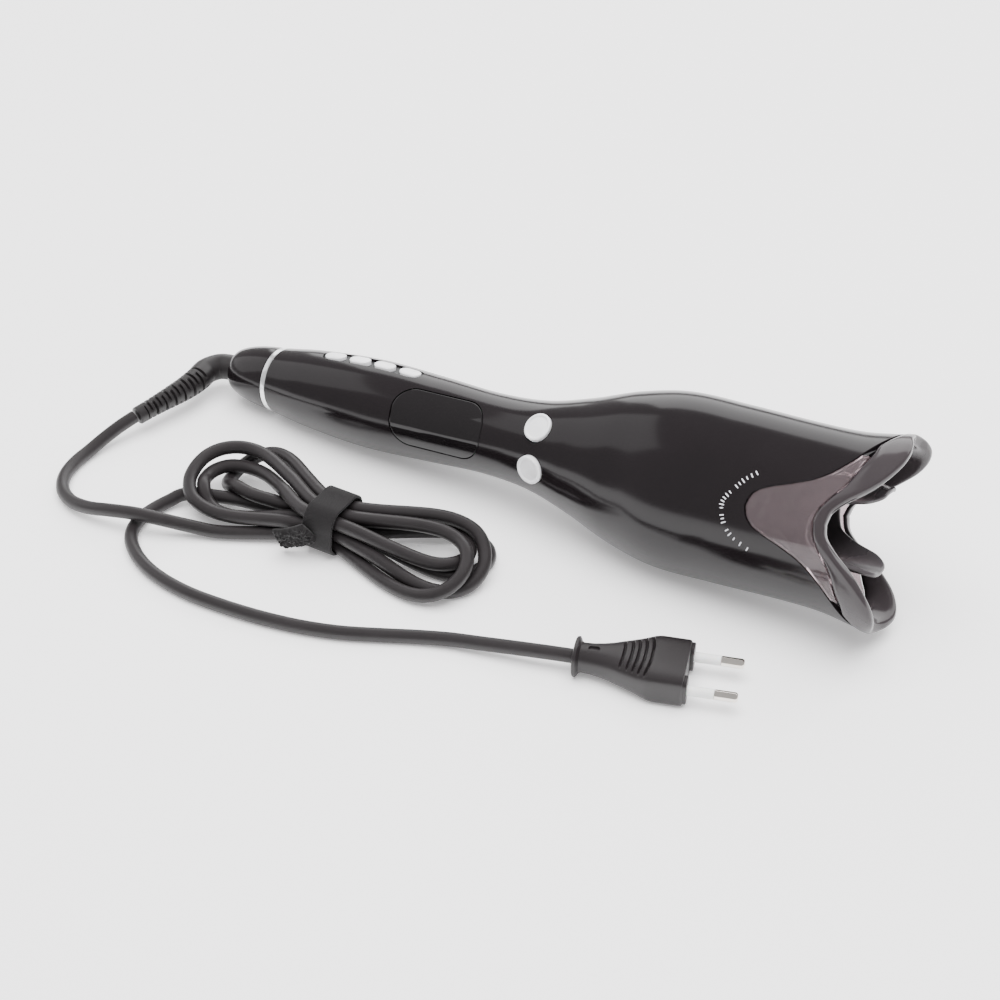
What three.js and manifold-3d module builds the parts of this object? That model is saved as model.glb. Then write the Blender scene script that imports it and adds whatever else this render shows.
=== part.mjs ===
// Automatic hair curler with its mains cord, in millimetres, +Z up, lying on the plane z = 0.
// The curler's own frame (group "curler"): +X along the axis towards the mouth, x = 0 at the
// silver ring, +Z out of the front face, +Y towards the upper petal.
import * as THREE from "three";
import { mergeVertices } from "three/addons/utils/BufferGeometryUtils.js";
import Module from "manifold-3d";

const wasm = await Module();
wasm.setup();

// ---- Driving dimensions ----
const GAP = 0.3; // clearance between neighbouring pieces
const PITCH = THREE.MathUtils.degToRad(5.68); // the axis rises towards the head
const ROLL = THREE.MathUtils.degToRad(57.5); // the front face leans towards -Y
const RING_PLACE = new THREE.Vector3(-133.85, 0.2, 14.5); // centre of the silver ring
const CENTRING = 1.5; // moves everything along X so that the curler's own box is centred
const WALL = 2.2; // housing wall
const HEAD_FLATNESS = 0.774; // front-to-back depth over width of the head
const FLATTEN_FROM = 120;
const FLATTEN_TO = 180;
// Half-width of the body at stations along the axis
const HALF_WIDTH = [
  [-22, 10.2], [-10, 12.2], [0, 13.8], [20, 16.8], [50, 18.9], [80, 18], [108, 16.9],
  [130, 18.7], [150, 24.1], [170, 31.1], [190, 35.3], [215, 35.4], [245, 34.8], [262, 35.2],
  [278, 37.6], [290, 38.8],
];
// Curves round the mouth: degrees from the face's middle to the petal, station along the axis
const FRONT_SEAM = [
  [0, 231.8], [7, 233.2], [12, 236], [16, 241], [20.5, 248], [27, 256], [38, 263.5], [53, 270],
  [75, 276], [90, 278],
];
const BACK_SEAM = [
  [0, 223], [7, 224.5], [12, 227.5], [16, 233], [20.5, 241], [27, 250], [38, 260], [53, 269],
  [75, 276], [90, 278],
];
const FRONT_MOUTH = [
  [0, 264], [8.5, 265.3], [17, 270], [24, 275.3], [31, 279.5], [40, 283], [50, 285.3],
  [60, 285.8], [70, 284.8], [80, 283], [90, 282],
];
const BACK_MOUTH = [
  [0, 255], [8.5, 256.8], [17, 262.3], [24, 268.5], [31, 274], [40, 279.8], [50, 283.6],
  [60, 285.2], [70, 284.6], [80, 283], [90, 282],
];
const FRONT_RIM_WIDTH = 5; // the rim, measured along the axis at the middle of the front face
const BACK_RIM_WIDTH = 2; // the same at the middle of the back
const RIM_ARM_WIDTH = 13; // the same on the petals
const RIM_LIP = 0.5; // the rim stands proud of the body
const RIM_DEPTH = 4;
const WINDOW_WALL = 2;
// How far along from the ring to the seam the housing's rows of facets lie, close where it flares
const HOUSING_ROWS = [
  0, 0.12, 0.24, 0.36, 0.46, 0.53, 0.58, 0.63, 0.68, 0.73, 0.79, 0.88, 1,
];
const WINDOW_ARM = 50; // the window's arms end this many degrees round
// Degrees from a face's middle at which the body's facets meet, shared by all that touch the seam
const HALF_FACETS = [5, 10, 15, 20.5, 28, 38, 50, 64, 77, 90];
const FACETS = [...HALF_FACETS.map((angle) => -angle).reverse(), 0, ...HALF_FACETS];

const ROTOR_RADIUS = 17.5;
const ROTOR_WALL = 2;
const ROTOR_START = 204;
const ROTOR_NOTCH = 254;
const ROTOR_TIP = 279;
const ROTOR_TURN = THREE.MathUtils.degToRad(14); // the tongues' turn away from the petals
const TONGUE_HALF_ANGLE = 38; // degrees either side of the petals
const BARREL_RADIUS = 10;
const BARREL_START = 200;
const BARREL_END = 245;
const BULKHEAD_START = 190;
const GEAR_MODULE = 0.7;
const RING_TEETH = 40;
const PINION_TEETH = 10;
const GEAR_START = 199;
const GEAR_WIDTH = 4;

const RING_WIDTH = 2.3;
const DISPLAY_FROM = 68.3;
const DISPLAY_TO = 111;
const DISPLAY_HALF = 12;
const DISPLAY_CORNER = 9.5;
const BUTTON_STATION = 136;
const BUTTON_ANGLE = 25.4;
const BUTTON_RADIUS = 5.9;
const BUTTON_TRAVEL = 1;
const KEY_STATIONS = [30.6, 43, 55.4, 67.8];
const KEY_ANGLE = 67.5;
const KEY_LENGTH = 9.6;
const KEY_WIDTH = 5.8;
const KEY_TRAVEL = 0.6;
const BEZEL_DEPTH = 3.4;

const CORD_DIAMETER = 5.6;
const PLUG_PLACE = new THREE.Vector3(99.3, -70.6, 6.85); // middle of the plug's front face
const PLUG_TURN = THREE.MathUtils.degToRad(17.6);
const PIN_PITCH = 18.6;
const PIN_RADIUS = 2;

// Colours
const BLACK = 0x131214;
const SMOKE = 0x3a3234;
const SILVER = 0xd9dadc;
const RUBBER = 0x1b1b1c;

// ---- Small helpers ----
const rad = THREE.MathUtils.degToRad;
const vec = (x, y, z) => new THREE.Vector3(x, y, z);
const root = new THREE.Group();
const item = new THREE.Group();
item.position.x = CENTRING;
root.add(item);
const curler = new THREE.Group();
curler.rotation.set(ROLL, -PITCH, 0, "YXZ");
curler.position.copy(RING_PLACE);
item.add(curler);

// Smooth curve through the points of a table (cubic Hermite with averaged slopes)
function along(table, x) {
  const last = table.length - 1;
  const at = Math.min(Math.max(x, table[0][0]), table[last][0]);
  let i = 0;
  while (i < last - 1 && at > table[i + 1][0]) i += 1;
  const slope = (k) => {
    const a = table[Math.max(k - 1, 0)];
    const b = table[Math.min(k + 1, last)];
    return (b[1] - a[1]) / (b[0] - a[0]);
  };
  const span = table[i + 1][0] - table[i][0];
  const t = (at - table[i][0]) / span;
  const h = t * t * (3 - 2 * t);
  const rise = (t * t * t - 2 * t * t + t) * span * slope(i);
  const fall = (t * t * t - t * t) * span * slope(i + 1);
  return table[i][1] * (1 - h) + table[i + 1][1] * h + rise + fall;
}

const halfWidth = (x) => along(HALF_WIDTH, x);
function halfDepth(x) {
  const t = THREE.MathUtils.smoothstep(x, FLATTEN_FROM, FLATTEN_TO);
  return halfWidth(x) * (1 - t * (1 - HEAD_FLATNESS));
}

// Point of the body's skin: station, degrees round from the front face, depth below the skin
function skin(x, degrees, depth = 0) {
  const angle = rad(degrees);
  return vec(x, (halfWidth(x) - depth) * Math.sin(angle), (halfDepth(x) - depth) * Math.cos(angle));
}

// Frame on the skin: position, and a rotation whose Z is the outward normal and X the axis
function skinFrame(x, degrees, depth = 0) {
  const here = skin(x, degrees);
  const ahead = skin(x + 0.5, degrees).sub(skin(x - 0.5, degrees)).normalize();
  const round = skin(x, degrees + 0.5).sub(skin(x, degrees - 0.5)).normalize();
  const out = ahead.clone().cross(round).normalize();
  const frame = new THREE.Matrix4().makeBasis(ahead, out.clone().cross(ahead), out);
  return frame.setPosition(here.addScaledVector(out, -depth));
}

function foldAngle(degrees) {
  const turn = Math.abs(THREE.MathUtils.euclideanModulo(degrees + 180, 360) - 180);
  return { front: turn <= 90, angle: Math.min(turn, 180 - turn) };
}
function seamAt(degrees) {
  const { front, angle } = foldAngle(degrees);
  return along(front ? FRONT_SEAM : BACK_SEAM, angle);
}
function mouthAt(degrees) {
  const { front, angle } = foldAngle(degrees);
  return along(front ? FRONT_MOUTH : BACK_MOUTH, angle);
}
function rimStartAt(degrees) {
  const { front, angle } = foldAngle(degrees);
  const t = THREE.MathUtils.smoothstep(angle, 5, 45);
  const middleWidth = front ? FRONT_RIM_WIDTH : BACK_RIM_WIDTH;
  const width = middleWidth + t * (RIM_ARM_WIDTH - middleWidth);
  return Math.max(mouthAt(degrees) - width, seamAt(degrees) + GAP);
}

function geometryFrom(points, faces) {
  const geometry = new THREE.BufferGeometry();
  const flat = points.flatMap((p) => [p.x, p.y, p.z]);
  geometry.setAttribute("position", new THREE.Float32BufferAttribute(flat, 3));
  geometry.setIndex(faces.flat());
  return geometry;
}

// Closed body between an outer and an inner grid of points; wrap joins the last column to the first
function shellBody(outer, inner, wrap = false) {
  const rows = outer.length;
  const columns = outer[0].length;
  const points = [...outer.flat(), ...inner.flat()];
  const id = (side, r, c) => side * rows * columns + r * columns + (c % columns);
  const faces = [];
  const quad = (a, b, c, d) => faces.push([a, b, c], [a, c, d]);
  const lastColumn = wrap ? columns : columns - 1;
  for (let r = 0; r < rows - 1; r += 1) {
    for (let c = 0; c < lastColumn; c += 1) {
      quad(id(0, r, c), id(0, r, c + 1), id(0, r + 1, c + 1), id(0, r + 1, c));
      quad(id(1, r, c), id(1, r + 1, c), id(1, r + 1, c + 1), id(1, r, c + 1));
    }
  }
  for (let c = 0; c < lastColumn; c += 1) {
    const end = rows - 1;
    quad(id(0, 0, c), id(1, 0, c), id(1, 0, c + 1), id(0, 0, c + 1));
    quad(id(0, end, c), id(0, end, c + 1), id(1, end, c + 1), id(1, end, c));
  }
  for (let r = 0; r < rows - 1 && !wrap; r += 1) {
    const end = columns - 1;
    quad(id(0, r, 0), id(0, r + 1, 0), id(1, r + 1, 0), id(1, r, 0));
    quad(id(0, r, end), id(1, r, end), id(1, r + 1, end), id(0, r + 1, end));
  }
  return faceOut(geometryFrom(points, faces));
}

function faceOut(geometry) {
  const merged = positionsOnly(geometry);
  const p = merged.attributes.position;
  const index = merged.index.array;
  let volume = 0;
  const [a, b, c] = [vec(0, 0, 0), vec(0, 0, 0), vec(0, 0, 0)];
  for (let i = 0; i < index.length; i += 3) {
    a.fromBufferAttribute(p, index[i]);
    b.fromBufferAttribute(p, index[i + 1]);
    c.fromBufferAttribute(p, index[i + 2]);
    volume += a.dot(b.cross(c));
  }
  if (volume < 0) {
    for (let i = 0; i < index.length; i += 3) {
      [index[i + 1], index[i + 2]] = [index[i + 2], index[i + 1]];
    }
  }
  return merged;
}

function positionsOnly(geometry) {
  const bare = geometry.clone();
  bare.deleteAttribute("normal");
  bare.deleteAttribute("uv");
  return mergeVertices(bare, 1e-4);
}

function solidOf(geometry) {
  const merged = positionsOnly(geometry);
  const vertProperties = new Float32Array(merged.attributes.position.array);
  const triVerts = new Uint32Array(merged.index.array);
  return new wasm.Manifold(new wasm.Mesh({ numProp: 3, vertProperties, triVerts }));
}

function geometryOf(solid) {
  const mesh = solid.getMesh();
  const geometry = new THREE.BufferGeometry();
  geometry.setAttribute("position", new THREE.BufferAttribute(mesh.vertProperties, 3));
  geometry.setIndex(new THREE.BufferAttribute(mesh.triVerts, 1));
  return geometry;
}

function cut(geometry, ...tools) {
  let solid = solidOf(geometry);
  for (const tool of tools) solid = solid.subtract(solidOf(tool));
  return geometryOf(solid);
}
function join(first, ...others) {
  let solid = solidOf(first);
  for (const other of others) solid = solid.add(solidOf(other));
  return geometryOf(solid);
}
function common(first, second) {
  return geometryOf(solidOf(first).intersect(solidOf(second)));
}

function addMesh(name, geometry, color, roughness, metalness, group = curler) {
  const material = new THREE.MeshStandardMaterial({ color, roughness, metalness });
  const mesh = new THREE.Mesh(geometry, material);
  mesh.name = name;
  group.add(mesh);
  return mesh;
}

// Solid of revolution about the X axis from a closed or axis-to-axis outline of [x, radius]
function turned(outline, sides = 32) {
  const points = outline.map(([x, r]) => new THREE.Vector2(r, x));
  const lathe = new THREE.LatheGeometry(points, sides);
  lathe.rotateZ(-Math.PI / 2);
  return faceOut(lathe);
}
function tube(from, to, outer, inner, sides = 32) {
  return turned([[from, inner], [from, outer], [to, outer], [to, inner], [from, inner]], sides);
}
function rod(from, to, radius, sides = 24) {
  return turned([[from, 0], [from, radius], [to, radius], [to, 0]], sides);
}

// Flat plate in its own XY plane, rounded corners, from z = low to z = high
function plate(length, width, corner, low, high, segments = 5) {
  const shape = new THREE.Shape();
  const x = length / 2 - corner;
  const y = width / 2 - corner;
  shape.absarc(x, y, corner, 0, Math.PI / 2);
  shape.absarc(-x, y, corner, Math.PI / 2, Math.PI);
  shape.absarc(-x, -y, corner, Math.PI, Math.PI * 1.5);
  shape.absarc(x, -y, corner, Math.PI * 1.5, Math.PI * 2);
  const options = { depth: high - low, bevelEnabled: false, curveSegments: segments };
  return new THREE.ExtrudeGeometry(shape, options).translate(0, 0, low);
}

// Spur gear about the X axis with straight-sided teeth
function gear(teeth, from, to, bore) {
  const pitchRadius = (GEAR_MODULE * teeth) / 2;
  const tip = pitchRadius + GEAR_MODULE * 0.75;
  const base = pitchRadius - GEAR_MODULE * 1.1;
  const shape = new THREE.Shape();
  for (let tooth = 0; tooth < teeth; tooth += 1) {
    const corners = [[base, -0.34], [tip, -0.13], [tip, 0.13], [base, 0.34]];
    corners.forEach(([radius, part], k) => {
      const angle = ((tooth + part) / teeth) * 2 * Math.PI;
      const [x, y] = [radius * Math.cos(angle), radius * Math.sin(angle)];
      if (tooth === 0 && k === 0) shape.moveTo(x, y);
      else shape.lineTo(x, y);
    });
  }
  const hole = new THREE.Path();
  hole.absarc(0, 0, bore, 0, Math.PI * 2, true);
  shape.holes.push(hole);
  const options = { depth: to - from, bevelEnabled: false, curveSegments: 12 };
  return new THREE.ExtrudeGeometry(shape, options).rotateY(Math.PI / 2).translate(from, 0, 0);
}

// ---- Housing ----
function housingHalf(front) {
  const middle = front ? 0 : 180;
  const start = RING_WIDTH + GAP;
  const grid = (depth) => HOUSING_ROWS.map((part) => FACETS.map((reach) => {
    const x = start + (seamAt(middle + reach) - GAP - start) * part;
    const edge = 90 - THREE.MathUtils.radToDeg(Math.asin(GAP / 2 / (halfDepth(x) - depth)));
    return skin(x, middle + Math.min(Math.max(reach, -edge), edge), depth);
  }));
  return shellBody(grid(0), grid(WALL));
}

function displayPrism(clearance, low, high) {
  const length = DISPLAY_TO - DISPLAY_FROM - 2 * clearance;
  const width = 2 * (DISPLAY_HALF - clearance);
  const prism = plate(length, width, DISPLAY_CORNER - clearance, low, high, 6);
  return prism.translate((DISPLAY_FROM + DISPLAY_TO) / 2, 0, 0);
}

function buttonBore(side) {
  const bore = new THREE.CylinderGeometry(BUTTON_RADIUS + GAP, BUTTON_RADIUS + GAP, 12, 28);
  bore.rotateX(Math.PI / 2);
  return bore.applyMatrix4(skinFrame(BUTTON_STATION, side * BUTTON_ANGLE));
}

const KEY_MIDDLE = (KEY_STATIONS[0] + KEY_STATIONS[3]) / 2;
const KEY_ROW = KEY_STATIONS[3] - KEY_STATIONS[0] + KEY_LENGTH;
const keyPlane = () => skinFrame(KEY_MIDDLE, KEY_ANGLE);

function keySlot(margin, low, high) {
  const slot = plate(KEY_ROW + 2 * margin, KEY_WIDTH + 2 * margin, KEY_WIDTH / 2 + margin - 0.05,
    low, high);
  return slot.applyMatrix4(keyPlane());
}

function addHousing() {
  const front = cut(
    housingHalf(true),
    displayPrism(0, 5, 30),
    buttonBore(1),
    buttonBore(-1),
    keySlot(1, -4, 5),
  );
  addMesh("front_housing", front, BLACK, 0.12, 0);
  const atScrews = (from, to, radius) => screwFrames().map((frame) => (
    screwPost(from, to, radius).applyMatrix4(frame)));
  const posts = join(housingHalf(false), ...atScrews(1.2, 9, 4));
  const back = cut(posts, ...atScrews(-2, 2.6, 2.7), ...atScrews(-2, 12, 1.5));
  addMesh("back_housing", back, BLACK, 0.12, 0);
}

// Strip of the body's skin between two curves round the mouth
function mouthStrip(angles, startAt, endAt, depths, rows, wrap) {
  const grid = (depthAt) => {
    const lines = [];
    for (let r = 0; r <= rows; r += 1) {
      const t = r / rows;
      lines.push(angles.map((angle) => {
        const x = startAt(angle) + (endAt(angle) - startAt(angle)) * t;
        return skin(x, angle, depthAt(t));
      }));
    }
    return lines;
  };
  return shellBody(grid(depths.outer), grid(depths.inner), wrap);
}

function spread(from, to, count) {
  return Array.from({ length: count + 1 }, (_, i) => from + ((to - from) * i) / count);
}

function addWindow(name, middle) {
  const angles = FACETS.filter((angle) => Math.abs(angle) <= WINDOW_ARM).map((a) => a + middle);
  const depths = { outer: () => 0, inner: () => WINDOW_WALL };
  const start = (angle) => seamAt(angle) + GAP;
  const end = (angle) => rimStartAt(angle) - GAP;
  const strip = mouthStrip(angles, start, end, depths, 4, false);
  addMesh(name, strip, SMOKE, 0.08, 0);
}

function addRim() {
  const angles = [...FACETS.slice(0, -1), ...FACETS.slice(0, -1).map((angle) => angle + 180)];
  const bulge = (t) => Math.sqrt(Math.max(0, 1 - (2 * t - 1) ** 4));
  const depths = {
    outer: (t) => 0.6 - (RIM_LIP + 0.6) * bulge(t),
    inner: (t) => RIM_DEPTH - 1 + bulge(t),
  };
  addMesh("mouth_rim", mouthStrip(angles, rimStartAt, mouthAt, depths, 3, true), SMOKE, 0.15, 0);
}

// ---- Handle fittings ----
function addDisplay() {
  const angles = spread(-50, 50, 12);
  const strip = mouthStrip(angles, () => DISPLAY_FROM - 2, () => DISPLAY_TO + 2,
    { outer: () => 0, inner: () => 1.4 }, 5, false);
  addMesh("display_lens", common(strip, displayPrism(GAP, 5, 30)), 0x1c191c, 0.06, 0);
  const module = plate(32, 14, 1, 10, 12.8, 2).translate(90, 0, 0);
  addMesh("display_module", module, 0x9fa6a8, 0.4, 0);
}

function addButtons() {
  for (const [name, side] of [["left_button", 1], ["right_button", -1]]) {
    const frame = skinFrame(BUTTON_STATION, side * BUTTON_ANGLE);
    const outline = [[-3.6, 0], [-3.6, BUTTON_RADIUS], [0.9, BUTTON_RADIUS],
      [1.3, BUTTON_RADIUS - 0.5], [1.3, BUTTON_RADIUS - 1.1], [0.8, BUTTON_RADIUS - 1.6], [1.1, 0]];
    const cap = turned(outline, 28).rotateY(-Math.PI / 2).applyMatrix4(frame);
    addMesh(name, cap, SILVER, 0.25, 0.8);
    const body = plate(5, 5, 0.4, -8, -3.6 - BUTTON_TRAVEL - GAP, 2).applyMatrix4(frame);
    addMesh(`${side > 0 ? "left" : "right"}_switch`, body, 0x2a2a2c, 0.6, 0);
  }
}

function addKeys() {
  const bezel = cut(
    keySlot(1 - GAP, -BEZEL_DEPTH, -0.3),
    ...KEY_STATIONS.map((x) => keyShape(x, GAP, -5, 5)),
  );
  addMesh("key_bezel", bezel, 0x0c0c0d, 0.5, 0);
  KEY_STATIONS.forEach((x, i) => {
    const underside = KEY_TRAVEL + 0.2 - BEZEL_DEPTH;
    addMesh(`side_key_${i + 1}`, keyShape(x, 0, underside, 0.7), SILVER, 0.3, 0.7);
  });
  const pad = plate(KEY_ROW, KEY_WIDTH - 1, 1, -BEZEL_DEPTH - 1.2, -BEZEL_DEPTH - GAP, 2)
    .applyMatrix4(keyPlane());
  addMesh("key_pad", pad, 0x333336, 0.7, 0);
}
function keyShape(station, margin, low, high) {
  const key = plate(KEY_LENGTH + 2 * margin, KEY_WIDTH + 2 * margin, KEY_WIDTH / 2 + margin - 0.05,
    low, high, 4);
  return key.translate(station - KEY_MIDDLE, 0, 0).applyMatrix4(keyPlane());
}

function addTail() {
  addMesh("silver_ring", tube(0, RING_WIDTH, 14, 12.4, 40), SILVER, 0.2, 0.9);
  const cap = turned([
    [-GAP, 9.2], [-GAP, 13.8], [-4, 13.5], [-10, 12.6], [-15, 11.4], [-19, 9.9], [-21, 8.6],
    [-22, 7], [-22, 6.4], [-3, 6.4], [-3, 9.2], [-GAP, 9.2],
  ], 36);
  addMesh("tail_cap", cap, BLACK, 0.12, 0);
  addMesh("slip_ring", tube(2, 6, 9, 3, 24), 0xb08d57, 0.4, 0.9);
}

// Tube along a curve, its ends square to it
function tubeAlong(curve, radius, steps, sides, name, color, group) {
  const shape = new THREE.Shape();
  shape.absarc(0, 0, radius, 0, Math.PI * 2);
  const section = new THREE.Shape(shape.getSpacedPoints(sides).slice(0, sides));
  const geometry = new THREE.ExtrudeGeometry(section, { steps, extrudePath: curve });
  return addMesh(name, faceOut(geometry), color, 0.5, 0, group);
}

// The swivel's stem, elbow and ribbed boot: one rubber moulding, in the part's own frame
curler.updateMatrix();
const axisPoint = (x) => vec(x, 0, 0).applyMatrix4(curler.matrix);
const BOOT_POINTS = [
  axisPoint(-18.8), axisPoint(-24.5), vec(-164.2, -1, 11.4), vec(-167.4, -6.6, 11.4),
  vec(-167.2, -13.4, 11.3), vec(-168, -21, 11), vec(-170.4, -30, 10.4), vec(-173.2, -39, 9.6),
  vec(-175.4, -46.2, 9),
];
function addBoot() {
  const curve = new THREE.CatmullRomCurve3(BOOT_POINTS);
  const steps = 20;
  const frames = curve.computeFrenetFrames(steps, false);
  const radiusAt = (t) => {
    const rib = t > 0.42 && t < 0.93 ? 0.35 * (Math.round(t * steps) % 2) : 0;
    return 5.6 - 1.7 * THREE.MathUtils.smoothstep(t, 0.35, 1) - rib;
  };
  const sides = 10;
  const ring = (t, i, radius) => Array.from({ length: sides }, (_, k) => {
    const angle = (k / sides) * 2 * Math.PI;
    return curve.getPointAt(t).addScaledVector(frames.normals[i], radius * Math.cos(angle))
      .addScaledVector(frames.binormals[i], radius * Math.sin(angle));
  });
  const outer = [];
  const inner = [];
  for (let i = 0; i <= steps; i += 1) {
    outer.push(ring(i / steps, i, radiusAt(i / steps)));
    inner.push(ring(i / steps, i, 1.2));
  }
  addMesh("cord_boot", shellBody(outer, inner, true), RUBBER, 0.55, 0, item);
  const collar = turned([[-18.4, 2], [-18.4, 6], [-2.6, 6], [-2.6, 8.8], [1.4, 8.8], [1.4, 2],
    [-18.4, 2]], 28);
  addMesh("swivel_collar", collar, RUBBER, 0.5, 0);
}

// ---- Inside the head ----
function addRotor() {
  const shell = tube(ROTOR_START, ROTOR_TIP, ROTOR_RADIUS, ROTOR_RADIUS - ROTOR_WALL, 32);
  const base = tube(ROTOR_START, ROTOR_START + 2, ROTOR_RADIUS - 0.5, BARREL_RADIUS + 1.6, 32);
  const hub = tube(GEAR_START + GEAR_WIDTH + GAP, ROTOR_START + 1, 14, BARREL_RADIUS + 1.6, 32);
  const slot = notchPrism().rotateX(ROTOR_TURN);
  addMesh("rotor", cut(join(shell, base, hub), slot), 0x1d1b1d, 0.15, 0);
  const ring = gear(RING_TEETH, GEAR_START, GEAR_START + GEAR_WIDTH, BARREL_RADIUS + 1.6);
  addMesh("rotor_gear", ring, 0xe6e2d6, 0.5, 0);
}

// Gap between the rotor's tongues: a rounded V seen from the front face, cut right through
function notchPrism() {
  const half = ROTOR_RADIUS * Math.cos(rad(TONGUE_HALF_ANGLE));
  const shape = new THREE.Shape();
  shape.moveTo(ROTOR_TIP + 1, -half - 3);
  shape.lineTo(ROTOR_TIP - 6, -half);
  shape.quadraticCurveTo(ROTOR_NOTCH + 6, -half + 2, ROTOR_NOTCH + 2, -8);
  shape.quadraticCurveTo(ROTOR_NOTCH - 2, 0, ROTOR_NOTCH + 2, 8);
  shape.quadraticCurveTo(ROTOR_NOTCH + 6, half - 2, ROTOR_TIP - 6, half);
  shape.lineTo(ROTOR_TIP + 1, half + 3);
  const options = { depth: 60, bevelEnabled: false, curveSegments: 6 };
  return new THREE.ExtrudeGeometry(shape, options).translate(0, 0, -30);
}

function addBarrel() {
  const barrel = tube(BARREL_START, BARREL_END, BARREL_RADIUS, 8.6, 32);
  addMesh("heated_barrel", barrel, 0x2b2b2e, 0.35, 0.2);
  const tip = turned([[BARREL_END + GAP, 0], [BARREL_END + GAP, BARREL_RADIUS],
    [BARREL_END + 2.5, 9.3], [BARREL_END + 4.5, 7], [BARREL_END + 5.5, 3.5], [BARREL_END + 5.8, 0]], 32);
  addMesh("barrel_tip", tip, 0x1a1a1b, 0.4, 0);
  addMesh("heater_element", new THREE.BoxGeometry(34, 11, 5).translate(224, 0, 0), 0xc9c4ba, 0.6, 0);
  addMesh("thermal_fuse", rod(-5, 5, 1.7, 12).translate(208, 0, 5.2), 0xcfcfd2, 0.3, 0.8);
  const bulkhead = cut(
    bulkheadPlate(BULKHEAD_START, BULKHEAD_START + 3),
    rod(BULKHEAD_START - 1, BULKHEAD_START + 4, 6, 20),
    rod(BULKHEAD_START - 1, BULKHEAD_START + 4, 2.2, 16).translate(0, GEAR_CENTRES, 0),
  );
  const stem = tube(BULKHEAD_START + 2, BARREL_START - GAP, BARREL_RADIUS - 0.6, 6, 28);
  addMesh("barrel_bulkhead", join(bulkhead, stem), 0x3b3b3e, 0.6, 0);
  const bush = tube(BULKHEAD_START + 3 + GAP, GEAR_START - GAP, BARREL_RADIUS + 1.4,
    BARREL_RADIUS - 0.3, 28);
  addMesh("rotor_bush", bush, 0xb9a16a, 0.4, 0.8);
}
function bulkheadPlate(from, to) {
  const outline = (x, count = 28) => Array.from({ length: count }, (_, k) => (
    skin(x, (k / count) * 360, WALL + 0.9)));
  const inside = (x) => outline(x).map((p) => vec(x, p.y * 0.1, p.z * 0.1));
  return shellBody([outline(from), outline(to)], [inside(from), inside(to)], true);
}

const GEAR_CENTRES = (GEAR_MODULE * (RING_TEETH + PINION_TEETH)) / 2 + 0.1;

function addDrive() {
  const pinion = gear(PINION_TEETH, -GEAR_WIDTH / 2, GEAR_WIDTH / 2, 1);
  pinion.translate(GEAR_START + GEAR_WIDTH / 2, GEAR_CENTRES, 0);
  addMesh("motor_pinion", pinion, 0xd8b45a, 0.35, 0.9);
  const shaft = rod(188.6, GEAR_START + GEAR_WIDTH, 0.85, 12).translate(0, GEAR_CENTRES, 0);
  addMesh("motor_shaft", shaft, 0xc8c8cc, 0.3, 1);
  const gearbox = new THREE.BoxGeometry(9, 10, 12).translate(183.8, GEAR_CENTRES, 0);
  addMesh("motor_gearbox", gearbox, 0xc9a45c, 0.4, 0.8);
  const motor = cut(rod(163.5, 178.9, 6, 24).translate(0, GEAR_CENTRES, 0),
    new THREE.BoxGeometry(40, 20, 20).translate(171, GEAR_CENTRES + 15, 0),
    new THREE.BoxGeometry(40, 20, 20).translate(171, GEAR_CENTRES - 15, 0));
  addMesh("gear_motor", motor, 0xb4b5b8, 0.35, 0.9);
  const bracket = cut(new THREE.BoxGeometry(7, 14, 16.5).translate(183.8, GEAR_CENTRES, 0),
    new THREE.BoxGeometry(20, 10.6, 12.6).translate(183.8, GEAR_CENTRES, 0));
  addMesh("motor_bracket", bracket, 0x4a4a4e, 0.6, 0);
}

function addBoards() {
  addMesh("control_board", new THREE.BoxGeometry(104, 20, 1.6).translate(74, 0, 4), 0x1f5b38, 0.6, 0);
  const power = new THREE.BoxGeometry(34, 24, 1.6).translate(166, -5, -9);
  addMesh("power_board", power, 0x1f5b38, 0.6, 0);
}

// Screws go in from the back, each down a post of the back half
const SCREW_PLACES = [[14, 180], [118, 160], [118, 200], [172, 180]];
function screwFrames() {
  return SCREW_PLACES.map(([station, angle]) => skinFrame(station, angle));
}
function screwPost(from, to, radius, sides = 16) {
  return rod(from, to, radius, sides).rotateY(Math.PI / 2);
}
function addScrews() {
  screwFrames().forEach((frame, i) => {
    const screw = join(screwPost(2.3 - 1.4, 2.3, 2.4), screwPost(2, 11, 1.2, 10));
    addMesh(`housing_screw_${i + 1}`, screw.applyMatrix4(frame), 0x8b8c90, 0.35, 1);
  });
}

// ---- Cord, hank, strap and plug, in the part's own frame ----
const CORD_FROM_BOOT = [
  vec(-176.2, -47, 8.9), vec(-178.7, -54, 7.4), vec(-181.4, -62, 5), vec(-183, -70, 3.2),
  vec(-183.4, -79, 2.8), vec(-181.4, -88.5, 2.8), vec(-175.9, -96.5, 3), vec(-167.4, -101.5, 3.8),
  vec(-157.4, -103.2, 5.6), vec(-146.4, -102.4, 8), vec(-135.9, -100, 8.9), vec(-125.4, -96.4, 7.6),
  vec(-114.4, -91.5, 5), vec(-104.4, -87.4, 3.4),
];
const CORD_TO_PLUG = [
  vec(-129, -75, 4.6), vec(-132.9, -80.5, 3.4), vec(-136, -89, 2.8), vec(-136.4, -98, 2.8),
  vec(-133, -106.5, 2.8), vec(-125.9, -113.4, 2.8), vec(-116.4, -118.6, 2.8),
  vec(-105.4, -121.8, 2.8), vec(-91.4, -123.4, 2.8), vec(-75.4, -122.8, 2.8), vec(-59.4, -121, 2.8),
  vec(-43.4, -117.8, 2.8), vec(-28.4, -113, 2.8), vec(-14.4, -106.6, 2.8), vec(-1.4, -100.4, 2.9),
  vec(10.6, -95.8, 3.4), vec(22.6, -92.8, 4.4), vec(34, -90.2, 5.6), vec(44.4, -87.7, 6.5),
  vec(54.2, -84.9, 6.85),
];
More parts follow.
